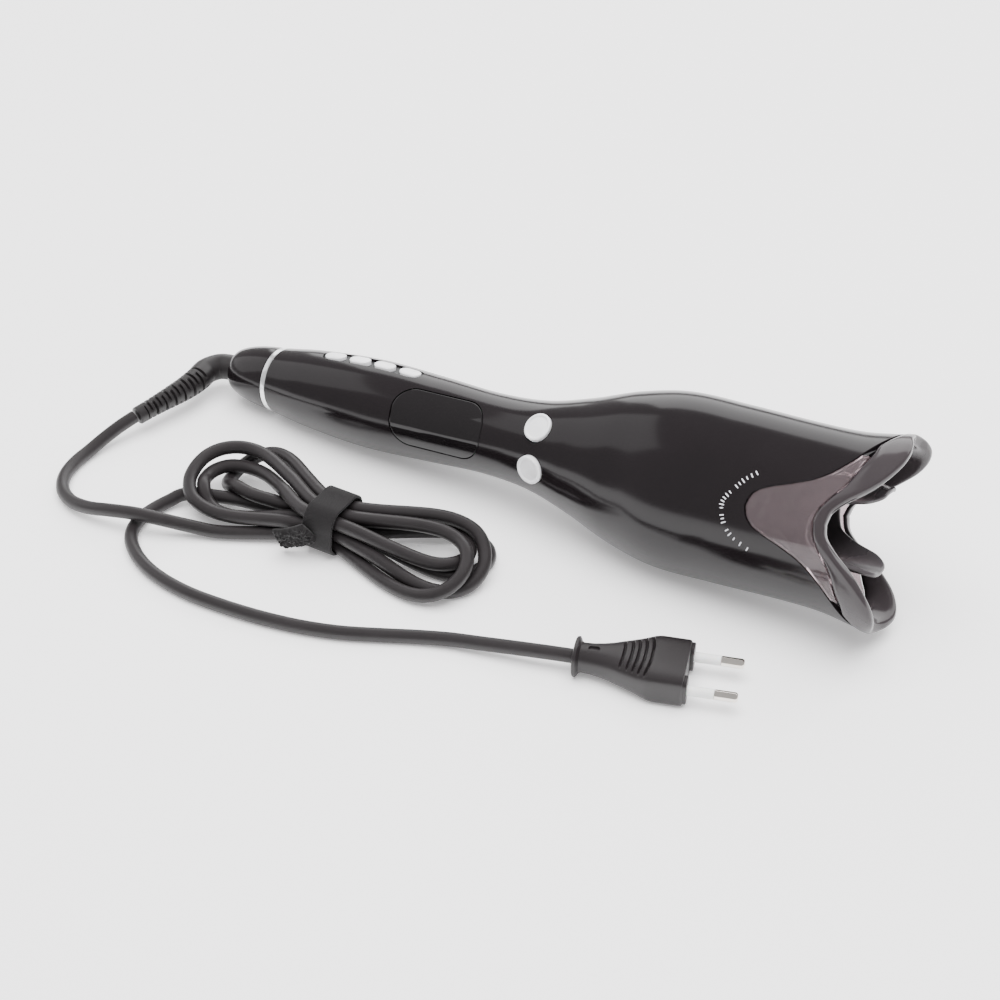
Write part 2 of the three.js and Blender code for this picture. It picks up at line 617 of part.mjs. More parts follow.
function addCord() {
  const fromBoot = new THREE.CatmullRomCurve3(CORD_FROM_BOOT);
  tubeAlong(fromBoot, CORD_DIAMETER / 2, 16, 8, "cord_from_boot", RUBBER, item);
  const toPlug = new THREE.CatmullRomCurve3(CORD_TO_PLUG);
  tubeAlong(toPlug, CORD_DIAMETER / 2, 26, 8, "cord_to_plug", RUBBER, item);
}

// The folded hank's outer shape from above, narrowed where the strap pulls it in
const HANK_OUTLINE = [
  [-127.8, -62], [-120.4, -51], [-105.4, -47.5], [-87.4, -52], [-71.4, -56.5], [-53.4, -54.5],
  [-35.4, -46.5], [-17.4, -40.5], [-4.4, -44], [1.1, -56], [0.1, -70], [-9.4, -78.5],
  [-25.4, -79], [-43.4, -76.5],
  [-59.4, -76], [-77.4, -79], [-95.4, -83.5], [-111.4, -83.6], [-123, -76],
];
const HANK_HEIGHT = 21;
const STRAP_X = -62.4;
const STRAP_Y = -66;
const STRAP_WIDTH = 14;
function addHank() {
  const outline = HANK_OUTLINE.map(([x, y]) => new THREE.Vector2(x, y));
  const shape = new THREE.Shape(new THREE.SplineCurve([...outline, outline[0]]).getPoints(38)
    .slice(0, 38));
  const body = new THREE.ExtrudeGeometry(shape, { depth: HANK_HEIGHT - 0.2, bevelEnabled: false });
  body.translate(0, 0, 0.2);
  const room = plate(STRAP_WIDTH + 2 * GAP, 60, 1, -1, 30, 2).translate(STRAP_X, STRAP_Y, 0);
  const waist = strapBlock(9.8, 1.9, HANK_HEIGHT - 1.4, STRAP_WIDTH + 3);
  addMesh("cord_hank", join(cut(body, room), waist), RUBBER, 0.5, 0, item);
  const band = cut(
    strapBlock(12.2, 0.2, HANK_HEIGHT + 1, STRAP_WIDTH),
    strapBlock(10.2, 1.5, HANK_HEIGHT - 1, STRAP_WIDTH + 2),
  );
  addMesh("cord_strap", band, 0x2c2c2e, 0.9, 0, item);
}
function strapBlock(half, low, high, width) {
  const height = high - low;
  const block = plate(2 * half, height, height / 2 - 0.5, -width / 2, width / 2, 5);
  block.rotateX(Math.PI / 2).rotateZ(Math.PI / 2);
  return block.translate(STRAP_X, STRAP_Y, (low + high) / 2);
}

function addPlug() {
  const plug = new THREE.Group();
  plug.position.copy(PLUG_PLACE);
  plug.rotation.z = PLUG_TURN;
  item.add(plug);
  const stations = [
    [-44, 7.4, 6.6], [-42.2, 7.4, 6.6], [-41, 5.6, 5.2], [-33, 6.6, 5.5], [-27, 8.6, 6],
    [-20, 11.2, 6.5], [-14.8, 13, 6.85], [0, 13.1, 6.85],
  ];
  const section = ([x, width, height], scale) => Array.from({ length: 20 }, (_, k) => {
    const angle = ((k + 0.5) / 20) * 2 * Math.PI;
    const [c, s] = [Math.cos(angle), Math.sin(angle)];
    const squarer = (v) => Math.sign(v) * Math.min(1, Math.abs(v) ** 0.45 * 1.06);
    return vec(x, width * squarer(c) * scale, height * squarer(s) * scale);
  });
  const outer = stations.map((station) => section(station, 1));
  const inner = stations.map((station) => section(station, 0.02));
  const shell = shellBody(outer, inner, true);
  const core = rod(-44, 0, 1.5, 12);
  const bores = [1, -1].map((side) => rod(-13, 1, PIN_RADIUS + GAP, 16)
    .translate(0, (side * PIN_PITCH) / 2, 0));
  addMesh("plug_body", cut(join(shell, core), ...bores), RUBBER, 0.5, 0, plug);
  for (const [name, side] of [["plug_pin_left", 1], ["plug_pin_right", -1]]) {
    const y = (side * PIN_PITCH) / 2;
    const pin = turned([[-12.6, 0], [-12.6, PIN_RADIUS], [-0.4, PIN_RADIUS], [-0.4, 1.55],
      [10.4, 1.55], [10.4, PIN_RADIUS], [18.2, PIN_RADIUS], [18.8, 1.5], [19, 0]], 20);
    addMesh(name, pin.translate(0, y, 0), 0xd8d3c8, 0.2, 1, plug);
    const sleeve = tube(0, 10, PIN_RADIUS, 1.56 + 0.1, 20).translate(0, y, 0);
    addMesh(name.replace("pin", "sleeve"), sleeve, 0xf2f2f0, 0.5, 0, plug);
  }
}

addHousing();
addWindow("front_window", 0);
addWindow("back_window", 180);
addRim();
addTail();
addDisplay();
addButtons();
addKeys();
addBoot();
addRotor();
addBarrel();
addDrive();
addBoards();
addScrews();
addCord();
addHank();
addPlug();

export default root;
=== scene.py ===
"""Looks of the automatic hair curler and its cord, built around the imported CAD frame.

Lengths are in millimetres up to the point where a mesh is made, and metres from there on.
The curler's own frame: X along the axis towards the mouth from the silver ring, Z out of the
front face, Y towards the upper petal.
"""
import math

import bmesh
import bpy
import numpy as np
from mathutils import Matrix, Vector


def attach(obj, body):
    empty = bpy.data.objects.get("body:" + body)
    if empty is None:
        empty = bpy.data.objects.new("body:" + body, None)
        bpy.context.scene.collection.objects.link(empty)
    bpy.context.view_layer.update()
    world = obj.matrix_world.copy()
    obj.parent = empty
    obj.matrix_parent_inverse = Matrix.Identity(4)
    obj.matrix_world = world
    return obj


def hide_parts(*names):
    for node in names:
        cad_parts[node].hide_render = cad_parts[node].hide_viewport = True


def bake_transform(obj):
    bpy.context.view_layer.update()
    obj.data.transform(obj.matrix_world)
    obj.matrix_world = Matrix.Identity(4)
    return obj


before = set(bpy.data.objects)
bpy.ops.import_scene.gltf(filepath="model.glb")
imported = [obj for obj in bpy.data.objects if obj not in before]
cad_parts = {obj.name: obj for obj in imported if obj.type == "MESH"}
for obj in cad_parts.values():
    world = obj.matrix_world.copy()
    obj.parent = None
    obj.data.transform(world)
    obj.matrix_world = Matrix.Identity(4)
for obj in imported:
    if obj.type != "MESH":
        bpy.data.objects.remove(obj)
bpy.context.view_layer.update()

MM = 0.001
GAP = 0.3  # clearance between neighbouring pieces
PITCH = math.radians(5.68)  # the axis rises towards the head
ROLL = math.radians(57.5)  # the front face leans towards -Y
CENTRING = np.array([1.5, 0, 0])  # moves everything so that the curler's own box is centred
RING_PLACE = np.array([-133.85, 0.2, 14.5])  # centre of the silver ring
WALL = 2.2  # housing wall
HEAD_FLATNESS = 0.774
FLATTEN_FROM = 120
FLATTEN_TO = 180
# Half-width of the body at stations along the axis
HALF_WIDTH = [
    (-22, 10.2), (-10, 12.2), (0, 13.8), (20, 16.8), (50, 18.9), (80, 18), (108, 16.9),
    (130, 18.7), (150, 24.1), (170, 31.1), (190, 35.3), (215, 35.4), (245, 34.8), (262, 35.2),
    (278, 37.6), (290, 38.8),
]
# Curves round the mouth: degrees from the face's middle to the petal, station along the axis
FRONT_SEAM = [
    (0, 231.8), (7, 233.2), (12, 236), (16, 241), (20.5, 248), (27, 256), (38, 263.5), (53, 270),
    (75, 276), (90, 278),
]
BACK_SEAM = [
    (0, 223), (7, 224.5), (12, 227.5), (16, 233), (20.5, 241), (27, 250), (38, 260), (53, 269),
    (75, 276), (90, 278),
]
FRONT_MOUTH = [
    (0, 264), (8.5, 265.3), (17, 270), (24, 275.3), (31, 279.5), (40, 283), (50, 285.3),
    (60, 285.8), (70, 284.8), (80, 283), (90, 282),
]
BACK_MOUTH = [
    (0, 255), (8.5, 256.8), (17, 262.3), (24, 268.5), (31, 274), (40, 279.8), (50, 283.6),
    (60, 285.2), (70, 284.6), (80, 283), (90, 282),
]
FRONT_RIM_WIDTH = 5
BACK_RIM_WIDTH = 2
RIM_ARM_WIDTH = 13
RIM_LIP = 0.5
RIM_DEPTH = 4
WINDOW_WALL = 2
WINDOW_ARM = 50
RING_WIDTH = 2.3
DISPLAY_FROM = 68.3
DISPLAY_TO = 111
DISPLAY_HALF = 12
DISPLAY_CORNER = 9.5
LENS_THICKNESS = 1.4
BUTTON_STATION = 136
BUTTON_ANGLE = 25.4
BUTTON_RADIUS = 5.9
KEY_STATIONS = [30.6, 43, 55.4, 67.8]
KEY_MIDDLE = 49.2
KEY_ANGLE = 67.5
KEY_LENGTH = 9.6
KEY_WIDTH = 5.8
KEY_ROW = KEY_STATIONS[-1] - KEY_STATIONS[0] + KEY_LENGTH
KEY_TRAVEL = 0.6
BEZEL_DEPTH = 3.4
ROTOR_RADIUS = 17.5
ROTOR_WALL = 2
ROTOR_NOTCH = 254
ROTOR_TIP = 279
ROTOR_TURN = math.radians(14)  # the tongues' turn away from the petals
BARREL_RADIUS = 10
BARREL_START = 200
BARREL_END = 245
CORD_DIAMETER = 5.6
PLUG_PLACE = np.array([99.3, -70.6, 6.85])  # middle of the plug's front face
PLUG_TURN = math.radians(17.6)
PIN_PITCH = 18.6
PIN_RADIUS = 2
STRAP_X = -62.4
STRAP_Y = -66
STRAP_WIDTH = 14


# ---- Curves and places ----
def along(table, x):
    """Smooth curve through the points of a table (cubic Hermite with averaged slopes)."""
    stations = np.array([row[0] for row in table], float)
    values = np.array([row[1] for row in table], float)
    at = np.clip(np.asarray(x, float), stations[0], stations[-1])
    i = np.clip(np.searchsorted(stations, at, side="left") - 1, 0, len(table) - 2)
    before = np.maximum(np.arange(len(table)) - 1, 0)
    after = np.minimum(np.arange(len(table)) + 1, len(table) - 1)
    slope = (values[after] - values[before]) / (stations[after] - stations[before])
    span = stations[i + 1] - stations[i]
    t = (at - stations[i]) / span
    h = t * t * (3 - 2 * t)
    rise = (t ** 3 - 2 * t * t + t) * span * slope[i]
    fall = (t ** 3 - t * t) * span * slope[i + 1]
    return values[i] * (1 - h) + values[i + 1] * h + rise + fall


def smoothstep(x, low, high):
    t = np.clip((np.asarray(x, float) - low) / (high - low), 0, 1)
    return t * t * (3 - 2 * t)


def half_width(x):
    return along(HALF_WIDTH, x)


def half_depth(x):
    return half_width(x) * (1 - smoothstep(x, FLATTEN_FROM, FLATTEN_TO) * (1 - HEAD_FLATNESS))


def skin(x, degrees, depth=0.0):
    """Points of the body's skin: station, degrees round from the front face, depth below it."""
    x, degrees, depth = np.broadcast_arrays(*(np.asarray(v, float) for v in (x, degrees, depth)))
    angle = np.radians(degrees)
    y = (half_width(x) - depth) * np.sin(angle)
    z = (half_depth(x) - depth) * np.cos(angle)
    return np.stack([x, y, z], axis=-1)


def skin_normal(points):
    """Outward normals of the skin at points on it."""
    x = points[..., 0]
    w, d = half_width(x), half_depth(x)
    w_slope = (half_width(x + 0.4) - half_width(x - 0.4)) / 0.8
    d_slope = (half_depth(x + 0.4) - half_depth(x - 0.4)) / 0.8
    angle = np.arctan2(points[..., 1] / w, points[..., 2] / d)
    s, c = np.sin(angle), np.cos(angle)
    normal = np.stack([-(d_slope * c * w * c + w_slope * s * d * s), d * s, w * c], axis=-1)
    return normal / np.linalg.norm(normal, axis=-1, keepdims=True)


def skin_frame(x, degrees):
    """Origin and axes (along, across, outward) of a flat frame on the skin."""
    here = skin(x, degrees)
    ahead = skin(x + 0.5, degrees) - skin(x - 0.5, degrees)
    ahead = ahead / np.linalg.norm(ahead)
    round_ = skin(x, degrees + 0.5) - skin(x, degrees - 0.5)
    out = np.cross(ahead, round_ / np.linalg.norm(round_))
    out = out / np.linalg.norm(out)
    return here, np.array([ahead, np.cross(out, ahead), out])


def folded(degrees):
    turn = np.abs((np.asarray(degrees, float) + 180) % 360 - 180)
    return turn <= 90, np.minimum(turn, 180 - turn)


def seam_at(degrees):
    front, angle = folded(degrees)
    return np.where(front, along(FRONT_SEAM, angle), along(BACK_SEAM, angle))


def mouth_at(degrees):
    front, angle = folded(degrees)
    return np.where(front, along(FRONT_MOUTH, angle), along(BACK_MOUTH, angle))


def rim_start_at(degrees):
    front, angle = folded(degrees)
    middle_width = np.where(front, FRONT_RIM_WIDTH, BACK_RIM_WIDTH)
    width = middle_width + smoothstep(angle, 5, 45) * (RIM_ARM_WIDTH - middle_width)
    return np.maximum(mouth_at(degrees) - width, seam_at(degrees) + GAP)


AXES = np.array([
    (math.cos(PITCH), 0, math.sin(PITCH)),
    (-math.sin(PITCH) * math.sin(ROLL), math.cos(ROLL), math.cos(PITCH) * math.sin(ROLL)),
    (-math.sin(PITCH) * math.cos(ROLL), -math.sin(ROLL), math.cos(PITCH) * math.cos(ROLL)),
])


def on_curler(points):
    return (np.asarray(points, float) @ AXES + RING_PLACE + CENTRING) * MM


def in_row(points):
    return (np.asarray(points, float) + CENTRING) * MM


def on_plug(points):
    c, s = math.cos(PLUG_TURN), math.sin(PLUG_TURN)
    turn = np.array([(c, s, 0), (-s, c, 0), (0, 0, 1)])
    return (np.asarray(points, float) @ turn + PLUG_PLACE + CENTRING) * MM


def on_skin(x, degrees):
    """A placing function for points given in the flat frame there."""
    origin, axes = skin_frame(x, degrees)
    return lambda points: on_curler(np.asarray(points, float) @ axes + origin)


# ---- Mesh building ----
def make(name, points, faces, material, place=on_curler, sharp=35):
    """A closed smooth-shaded mesh object from points in millimetres."""
    mesh = bpy.data.meshes.new(name)
    mesh.from_pydata([tuple(p) for p in place(points)], [], [tuple(f) for f in faces])
    tidy = bmesh.new()
    tidy.from_mesh(mesh)
    bmesh.ops.remove_doubles(tidy, verts=tidy.verts, dist=1e-7)
    bmesh.ops.recalc_face_normals(tidy, faces=tidy.faces)
    if tidy.calc_volume(signed=True) < 0:
        bmesh.ops.reverse_faces(tidy, faces=tidy.faces)
    tidy.to_mesh(mesh)
    tidy.free()
    mesh.shade_smooth()
    mesh.set_sharp_from_angle(angle=math.radians(sharp))
    thing = bpy.data.objects.new(name, mesh)
    bpy.context.scene.collection.objects.link(thing)
    if material:
        mesh.materials.append(material)
    return thing


def grid_faces(rows, columns, wrap_rows=False, wrap_columns=False, offset=0):
    faces = []
    for r in range(rows if wrap_rows else rows - 1):
        for c in range(columns if wrap_columns else columns - 1):
            r2, c2 = (r + 1) % rows, (c + 1) % columns
            corners = (r * columns + c, r * columns + c2, r2 * columns + c2, r2 * columns + c)
            faces.append(tuple(offset + k for k in corners))
    return faces


def shell_mesh(outer, inner):
    """Points and faces of a closed sheet with an outer and an inner grid."""
    rows, columns = outer.shape[:2]
    count = rows * columns
    points = np.concatenate([outer.reshape(-1, 3), inner.reshape(-1, 3)])
    faces = grid_faces(rows, columns) + grid_faces(rows, columns, offset=count)
    edge = [(0, c) for c in range(columns)] + [(r, columns - 1) for r in range(1, rows)]
    edge += [(rows - 1, c) for c in range(columns - 2, -1, -1)]
    edge += [(r, 0) for r in range(rows - 2, 0, -1)]
    ids = [r * columns + c for r, c in edge]
    for a, b in zip(ids, ids[1:] + ids[:1]):
        faces.append((a, b, b + count, a + count))
    return points, faces


def rings_mesh(rings, closed=False):
    """Points and faces of a body through rings of points, its ends capped unless closed."""
    rings = np.asarray(rings)
    rows, columns = rings.shape[:2]
    faces = grid_faces(rows, columns, wrap_rows=closed, wrap_columns=True)
    if not closed:
        faces.append(tuple(range(columns)))
        faces.append(tuple((rows - 1) * columns + k for k in range(columns)))
    return rings.reshape(-1, 3), faces


def rounded(outline, radius, steps=5, closed=True):
    """The outline with its corners rounded; radius is one number or one for each corner."""
    count = len(outline)
    radii = radius if hasattr(radius, "__len__") else [radius] * count
    result = []
    for i, corner in enumerate(outline):
        corner = np.array(corner, float)
        if radii[i] <= 0 or (not closed and i in (0, count - 1)):
            result.append(corner)
            continue
        before = np.array(outline[i - 1], float) - corner
        after = np.array(outline[(i + 1) % count], float) - corner
        reach = min(radii[i], np.linalg.norm(before) * 0.48, np.linalg.norm(after) * 0.48)
        a = corner + before / np.linalg.norm(before) * reach
        b = corner + after / np.linalg.norm(after) * reach
        for t in np.linspace(0, 1, steps + 1):
            result.append(a * (1 - t) ** 2 + corner * 2 * t * (1 - t) + b * t * t)
    return np.array(result)


def turned(name, outline, material, radius=0.3, sides=96, place=on_curler, axis="x", sharp=35):
    """A closed solid of revolution from an outline of (station, radius)."""
    outline = rounded(outline, radius)
    angles = np.linspace(0, 2 * math.pi, sides, endpoint=False)
    rings = []
    for station, r in outline:
        c, s, at = r * np.cos(angles), r * np.sin(angles), np.full(sides, station)
        rings.append(np.stack([at, c, s] if axis == "x" else [c, s, at], axis=1))
    points, faces = rings_mesh(rings, closed=True)
    return make(name, points, faces, material, place, sharp)


def pill_outline(length, width, corner, per_corner=10):
    """Rounded rectangle about the origin, as points (x, y)."""
    x, y = length / 2 - corner, width / 2 - corner
    points = []
    for k, (cx, cy) in enumerate([(x, y), (-x, y), (-x, -y), (x, -y)]):
        for a in np.linspace(k * math.pi / 2, (k + 1) * math.pi / 2, per_corner + 1):
            points.append((cx + corner * math.cos(a), cy + corner * math.sin(a)))
    return np.array(points)


def stacked(name, length, width, corner, levels, material, place):
    """A body of rounded rectangles on each other; levels are (inset, height)."""
    rings = []
    for inset, height in levels:
        ring = pill_outline(length - 2 * inset, width - 2 * inset, max(corner - inset, 0.02))
        rings.append(np.column_stack([ring, np.full(len(ring), height)]))
    points, faces = rings_mesh(rings)
    return make(name, points, faces, material, place)


def fillet(distance, radius):
    reach = np.clip(radius - distance, 0, radius)
    return radius - np.sqrt(radius ** 2 - reach ** 2)


def subtract(thing, *cutters, solver="EXACT"):
    """Cuts the cutters out of thing and removes them."""
    bpy.context.view_layer.update()
    for cutter in cutters:
        step = thing.modifiers.new("cut", "BOOLEAN")
        step.operation = "DIFFERENCE"
        step.solver = solver
        step.object = cutter
    depsgraph = bpy.context.evaluated_depsgraph_get()
    mesh = bpy.data.meshes.new_from_object(thing.evaluated_get(depsgraph))
    thing.modifiers.clear()
    old, thing.data = thing.data, mesh
    bpy.data.meshes.remove(old)
    for cutter in cutters:
        bpy.data.objects.remove(cutter)
    mesh.shade_smooth()
    mesh.set_sharp_from_angle(angle=math.radians(35))
    return thing


def polish(thing):
    """Gives the faces that lie on the body's skin its exact normals, for clean reflections."""
    mesh = thing.data
    count = len(mesh.loops)
    owner = np.zeros(count, np.int32)
    mesh.loops.foreach_get("vertex_index", owner)
    places = np.zeros(len(mesh.vertices) * 3)
    mesh.vertices.foreach_get("co", places)
    local = (places.reshape(-1, 3) / MM - RING_PLACE - CENTRING) @ AXES.T
    corner = np.zeros(count * 3)
    mesh.corner_normals.foreach_get("vector", corner)
    corner = corner.reshape(-1, 3)
    face_normal = np.zeros((count, 3))
    for face in mesh.polygons:
        face_normal[face.loop_start:face.loop_start + face.loop_total] = face.normal
    exact = skin_normal(local) @ AXES
    w, d = half_width(local[:, 0]), half_depth(local[:, 0])
    on = np.abs(np.hypot(local[:, 1] / w, local[:, 2] / d) - 1) * w < 0.01
    use = on[owner] & ((face_normal * exact[owner]).sum(1) > 0.75)
    mesh.normals_split_custom_set(np.where(use[:, None], exact[owner], corner).tolist())


# ---- Materials ----
def material(name, color, roughness, metallic=0.0, spread=0.04, mottle=0.08, patch=60.0,
             grain=2500.0, relief=0.00001, **sockets):
    """Principled material with mottled colour, uneven roughness and a fine surface grain."""
    result = bpy.data.materials.new(name)
    result.use_nodes = True
    nodes, links = result.node_tree.nodes, result.node_tree.links
    shader = nodes["Principled BSDF"]
    shader.inputs["Metallic"].default_value = metallic
    for key, value in sockets.items():
        shader.inputs[key.replace("_", " ")].default_value = value
    where = nodes.new("ShaderNodeTexCoord")
    soft = nodes.new("ShaderNodeTexNoise")
    soft.inputs["Scale"].default_value = patch
    soft.inputs["Detail"].default_value = 5
    links.new(where.outputs["Object"], soft.inputs["Vector"])
    ramp = nodes.new("ShaderNodeValToRGB")
    ramp.color_ramp.elements[0].position = 0.3
    ramp.color_ramp.elements[1].position = 0.7
    ramp.color_ramp.elements[0].color = (*(c * (1 - mottle) for c in color), 1)
    ramp.color_ramp.elements[1].color = (*(min(1, c * (1 + mottle)) for c in color), 1)
    links.new(soft.outputs["Fac"], ramp.inputs["Fac"])
    links.new(ramp.outputs["Color"], shader.inputs["Base Color"])
    fine = nodes.new("ShaderNodeTexNoise")
    fine.inputs["Scale"].default_value = grain
    fine.inputs["Detail"].default_value = 3
    links.new(where.outputs["Object"], fine.inputs["Vector"])
    gloss = nodes.new("ShaderNodeMapRange")
    gloss.inputs["From Min"].default_value = 0.3
    gloss.inputs["From Max"].default_value = 0.7
    gloss.inputs["To Min"].default_value = max(0.0, roughness - spread)
    gloss.inputs["To Max"].default_value = roughness + spread
    links.new(soft.outputs["Fac"], gloss.inputs["Value"])
    links.new(gloss.outputs["Result"], shader.inputs["Roughness"])
    if relief:
        bump = nodes.new("ShaderNodeBump")
        bump.inputs["Strength"].default_value = 0.6
        bump.inputs["Distance"].default_value = relief
        links.new(fine.outputs["Fac"], bump.inputs["Height"])
        links.new(bump.outputs["Normal"], shader.inputs["Normal"])
    return result


GLOSS = material("gloss_black", (0.0075, 0.0058, 0.0066), 0.15, spread=0.02, relief=0, patch=35,
                 IOR=1.38, Coat_Weight=0.05, Coat_Roughness=0.08)
WINDOW = material("smoked_window", (0.46, 0.37, 0.39), 0.04, spread=0.012, relief=0, patch=35,
                  Transmission_Weight=0.9, IOR=1.46)
RIM = material("smoked_rim", (0.03, 0.025, 0.027), 0.16, spread=0.02, relief=0, patch=40,
               IOR=1.42, Coat_Weight=0.1, Coat_Roughness=0.04)
LENS = material("display_glass", (0.007, 0.006, 0.0065), 0.05, spread=0.015, relief=0, patch=40,
                IOR=1.4, Coat_Weight=0.1, Coat_Roughness=0.02)
SILVER = material("satin_silver", (0.9, 0.9, 0.92), 0.32, 0.25, spread=0.05, grain=4000,
                  relief=0.000004)
CHROME = material("bright_silver", (0.86, 0.87, 0.88), 0.2, 0.85, spread=0.04, relief=0.000003)
TRIM = material("black_trim", (0.012, 0.012, 0.013), 0.42, grain=3000, relief=0.00001)
RUBBER = material("cord_rubber", (0.0155, 0.0135, 0.0142), 0.44, spread=0.07, grain=1800,
                  relief=0.00002, Specular_IOR_Level=0.42)
BOOT_RUBBER = material("boot_rubber", (0.0125, 0.011, 0.0115), 0.42, spread=0.06, grain=1500,
                       relief=0.00002)
PLUG_PLASTIC = material("plug_plastic", (0.0115, 0.0095, 0.0102), 0.42, spread=0.05, grain=2200,
                        relief=0.000025)
CLOTH = material("strap_cloth", (0.010, 0.0092, 0.0096), 0.85, spread=0.08, mottle=0.35, patch=900,
                 grain=3500, relief=0.00006, Sheen_Weight=0.08, Sheen_Roughness=0.4)
FUZZ = material("strap_hooks", (0.007, 0.0062, 0.0066), 0.9, spread=0.06, mottle=0.5, patch=1500,
                grain=4000, relief=0.0001, Sheen_Weight=0.1, Sheen_Roughness=0.5)
NICKEL = material("nickel", (0.86, 0.82, 0.76), 0.16, 1.0, spread=0.05, relief=0.000004)
SLEEVE = material("pin_sleeve", (0.88, 0.88, 0.87), 0.35, grain=2000, relief=0.00001,
                  Subsurface_Weight=0.08, Subsurface_Scale=0.001)
ROTOR = material("rotor_plastic", (0.05, 0.044, 0.047), 0.26, spread=0.05, relief=0.000006)
CERAMIC = material("ceramic_coating", (0.03, 0.03, 0.034), 0.32, 0.2, spread=0.07, mottle=0.3,
                   patch=300, grain=6000, relief=0.00001)
DARK = material("dark_plastic", (0.022, 0.022, 0.024), 0.5, grain=1800, relief=0.00003)
STEEL = material("steel", (0.55, 0.55, 0.57), 0.3, 1.0, spread=0.08, grain=3500, relief=0.00001)
BRASS = material("brass", (0.72, 0.52, 0.24), 0.3, 1.0, spread=0.08, relief=0.00001)
GEAR = material("gear_plastic", (0.78, 0.74, 0.64), 0.45, grain=1800, relief=0.00002)
BOARD = material("circuit_board", (0.015, 0.11, 0.045), 0.4, mottle=0.3, patch=400, grain=3000,
                 relief=0.00002)
HEATER = material("heater_alloy", (0.58, 0.56, 0.52), 0.55, 0.4, mottle=0.2, relief=0.00003)
LCD = material("lcd", (0.33, 0.37, 0.36), 0.3, mottle=0.1, relief=0)
PRINT = material("pale_print", (0.62, 0.63, 0.66), 0.5, relief=0.000004)

CAD_FINISH = {
    "slip_ring": BRASS, "display_module": LCD, "left_switch": DARK, "right_switch": DARK,
    "key_pad": DARK, "rotor_gear": GEAR, "heater_element": HEATER, "thermal_fuse": STEEL,
    "barrel_bulkhead": DARK, "rotor_bush": BRASS, "motor_pinion": BRASS, "motor_shaft": STEEL,
    "motor_gearbox": BRASS, "gear_motor": STEEL, "motor_bracket": DARK, "control_board": BOARD,
    "power_board": BOARD, "housing_screw_1": STEEL, "housing_screw_2": STEEL,
    "housing_screw_3": STEEL, "housing_screw_4": STEEL,
}
for node, finish in CAD_FINISH.items():
    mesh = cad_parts[node].data
    mesh.materials.clear()
    mesh.materials.append(finish)


def settle(thing, body, slot, *nodes):
    """Sets what a finished piece rides on and hides the CAD nodes it stands for; slot is not used.
    """
    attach(thing, body)
    if nodes:
        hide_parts(*nodes)
    return thing


# ---- Camera ----
camera = bpy.data.objects.new("camera", bpy.data.cameras.new("camera"))
bpy.context.scene.collection.objects.link(camera)
camera.location = (0.3372, -0.6200, 0.5579)
LOOK_AT = Vector((-0.01665, -0.00885, 0))
camera.rotation_euler = (LOOK_AT - camera.location).to_track_quat("-Z", "Y").to_euler()
camera.data.lens = 78.52
camera.data.sensor_width = 36
camera.data.clip_start = 0.01
bpy.context.scene.camera = camera

# ---- Cord: boot, lead to the hank, seven turns through the strap, lead to the plug ----
FROM_BOOT = [
    (-176.2, -47, 8.9), (-178.7, -54, 7.4), (-181.4, -62, 5), (-183, -70, 3.2), (-183.4, -79, 2.8),
    (-181.4, -88.5, 2.8), (-175.9, -96.5, 3), (-167.4, -101.5, 3.8), (-157.4, -103.2, 5.6),
    (-146.4, -102.4, 8), (-135.9, -100, 8.9), (-125.4, -96.4, 7.6), (-114.4, -91.5, 5),
    (-104.4, -87.4, 3.4),
]
TO_PLUG = [
    (-129, -75, 4.6), (-132.9, -80.5, 3.4), (-136, -89, 2.8), (-136.4, -98, 2.8),
    (-133, -106.5, 2.8), (-125.9, -113.4, 2.8), (-116.4, -118.6, 2.8), (-105.4, -121.8, 2.8),
    (-91.4, -123.4, 2.8), (-75.4, -122.8, 2.8), (-59.4, -121, 2.8), (-43.4, -117.8, 2.8),
    (-28.4, -113, 2.8), (-14.4, -106.6, 2.8), (-1.4, -100.4, 2.9), (10.6, -95.8, 3.4),
    (22.6, -92.8, 4.4), (34, -90.2, 5.6), (44.4, -87.7, 6.5), (54.2, -84.9, 6.85),
    (58.5, -83.6, 6.85),
]
# Places of the strands inside the strap: column (near, middle, far) and layer
COLUMN = {"n": STRAP_Y - 5.85, "m": STRAP_Y, "f": STRAP_Y + 5.85}
LAYER = {"1": 4.6, "2": 10.4, "3": 16.2}
RELAX_TURNS = 300
HELD_AT_START = 168  # lengths of the leads that keep their route
HELD_AT_END = 262
SLOT_EDGE = 8.0  # the strands are straight this far either side of the strap's middle
# Turns: side, end (x, y), y of the near and far strands, heights near, at the end and far, slots
RIGHT_A = (1, 1, -69, -82.5, -51.5, (3, 10, 14.6), "n1", "m3")
LEFT_A = (-1, -130.5, -63, -83.5, -46, (7.5, 14.5, 15.5), "n2", "m3")
RIGHT_B = (1, 4, -61, -76.5, -43, (3.2, 4.6, 14.6), "n2", "f3")
LEFT_B = (-1, -127.5, -64, -79, -51, (3, 8.6, 9.5), "m2", "n3")
RIGHT_C = (1, 2, -50, -65.5, -36.5, (2.8, 2.8, 3), "m2", "f1")
LEFT_C = (-1, -122, -53, -69, -40, (8.8, 3.2, 13), "f2", "f3")
RIGHT_D = (1, -3, -56, -68, -43, (8.8, 8.8, 8.8), "n3", "f2")


def slot_place(slot):
    return COLUMN[slot[0]], LAYER[slot[1]]


def crossing(slot, side):
    """Points straight through the strap, towards that side."""
    y, z = slot_place(slot)
    return [(STRAP_X + side * part * SLOT_EDGE, y, z) for part in (-1, 0, 1)]


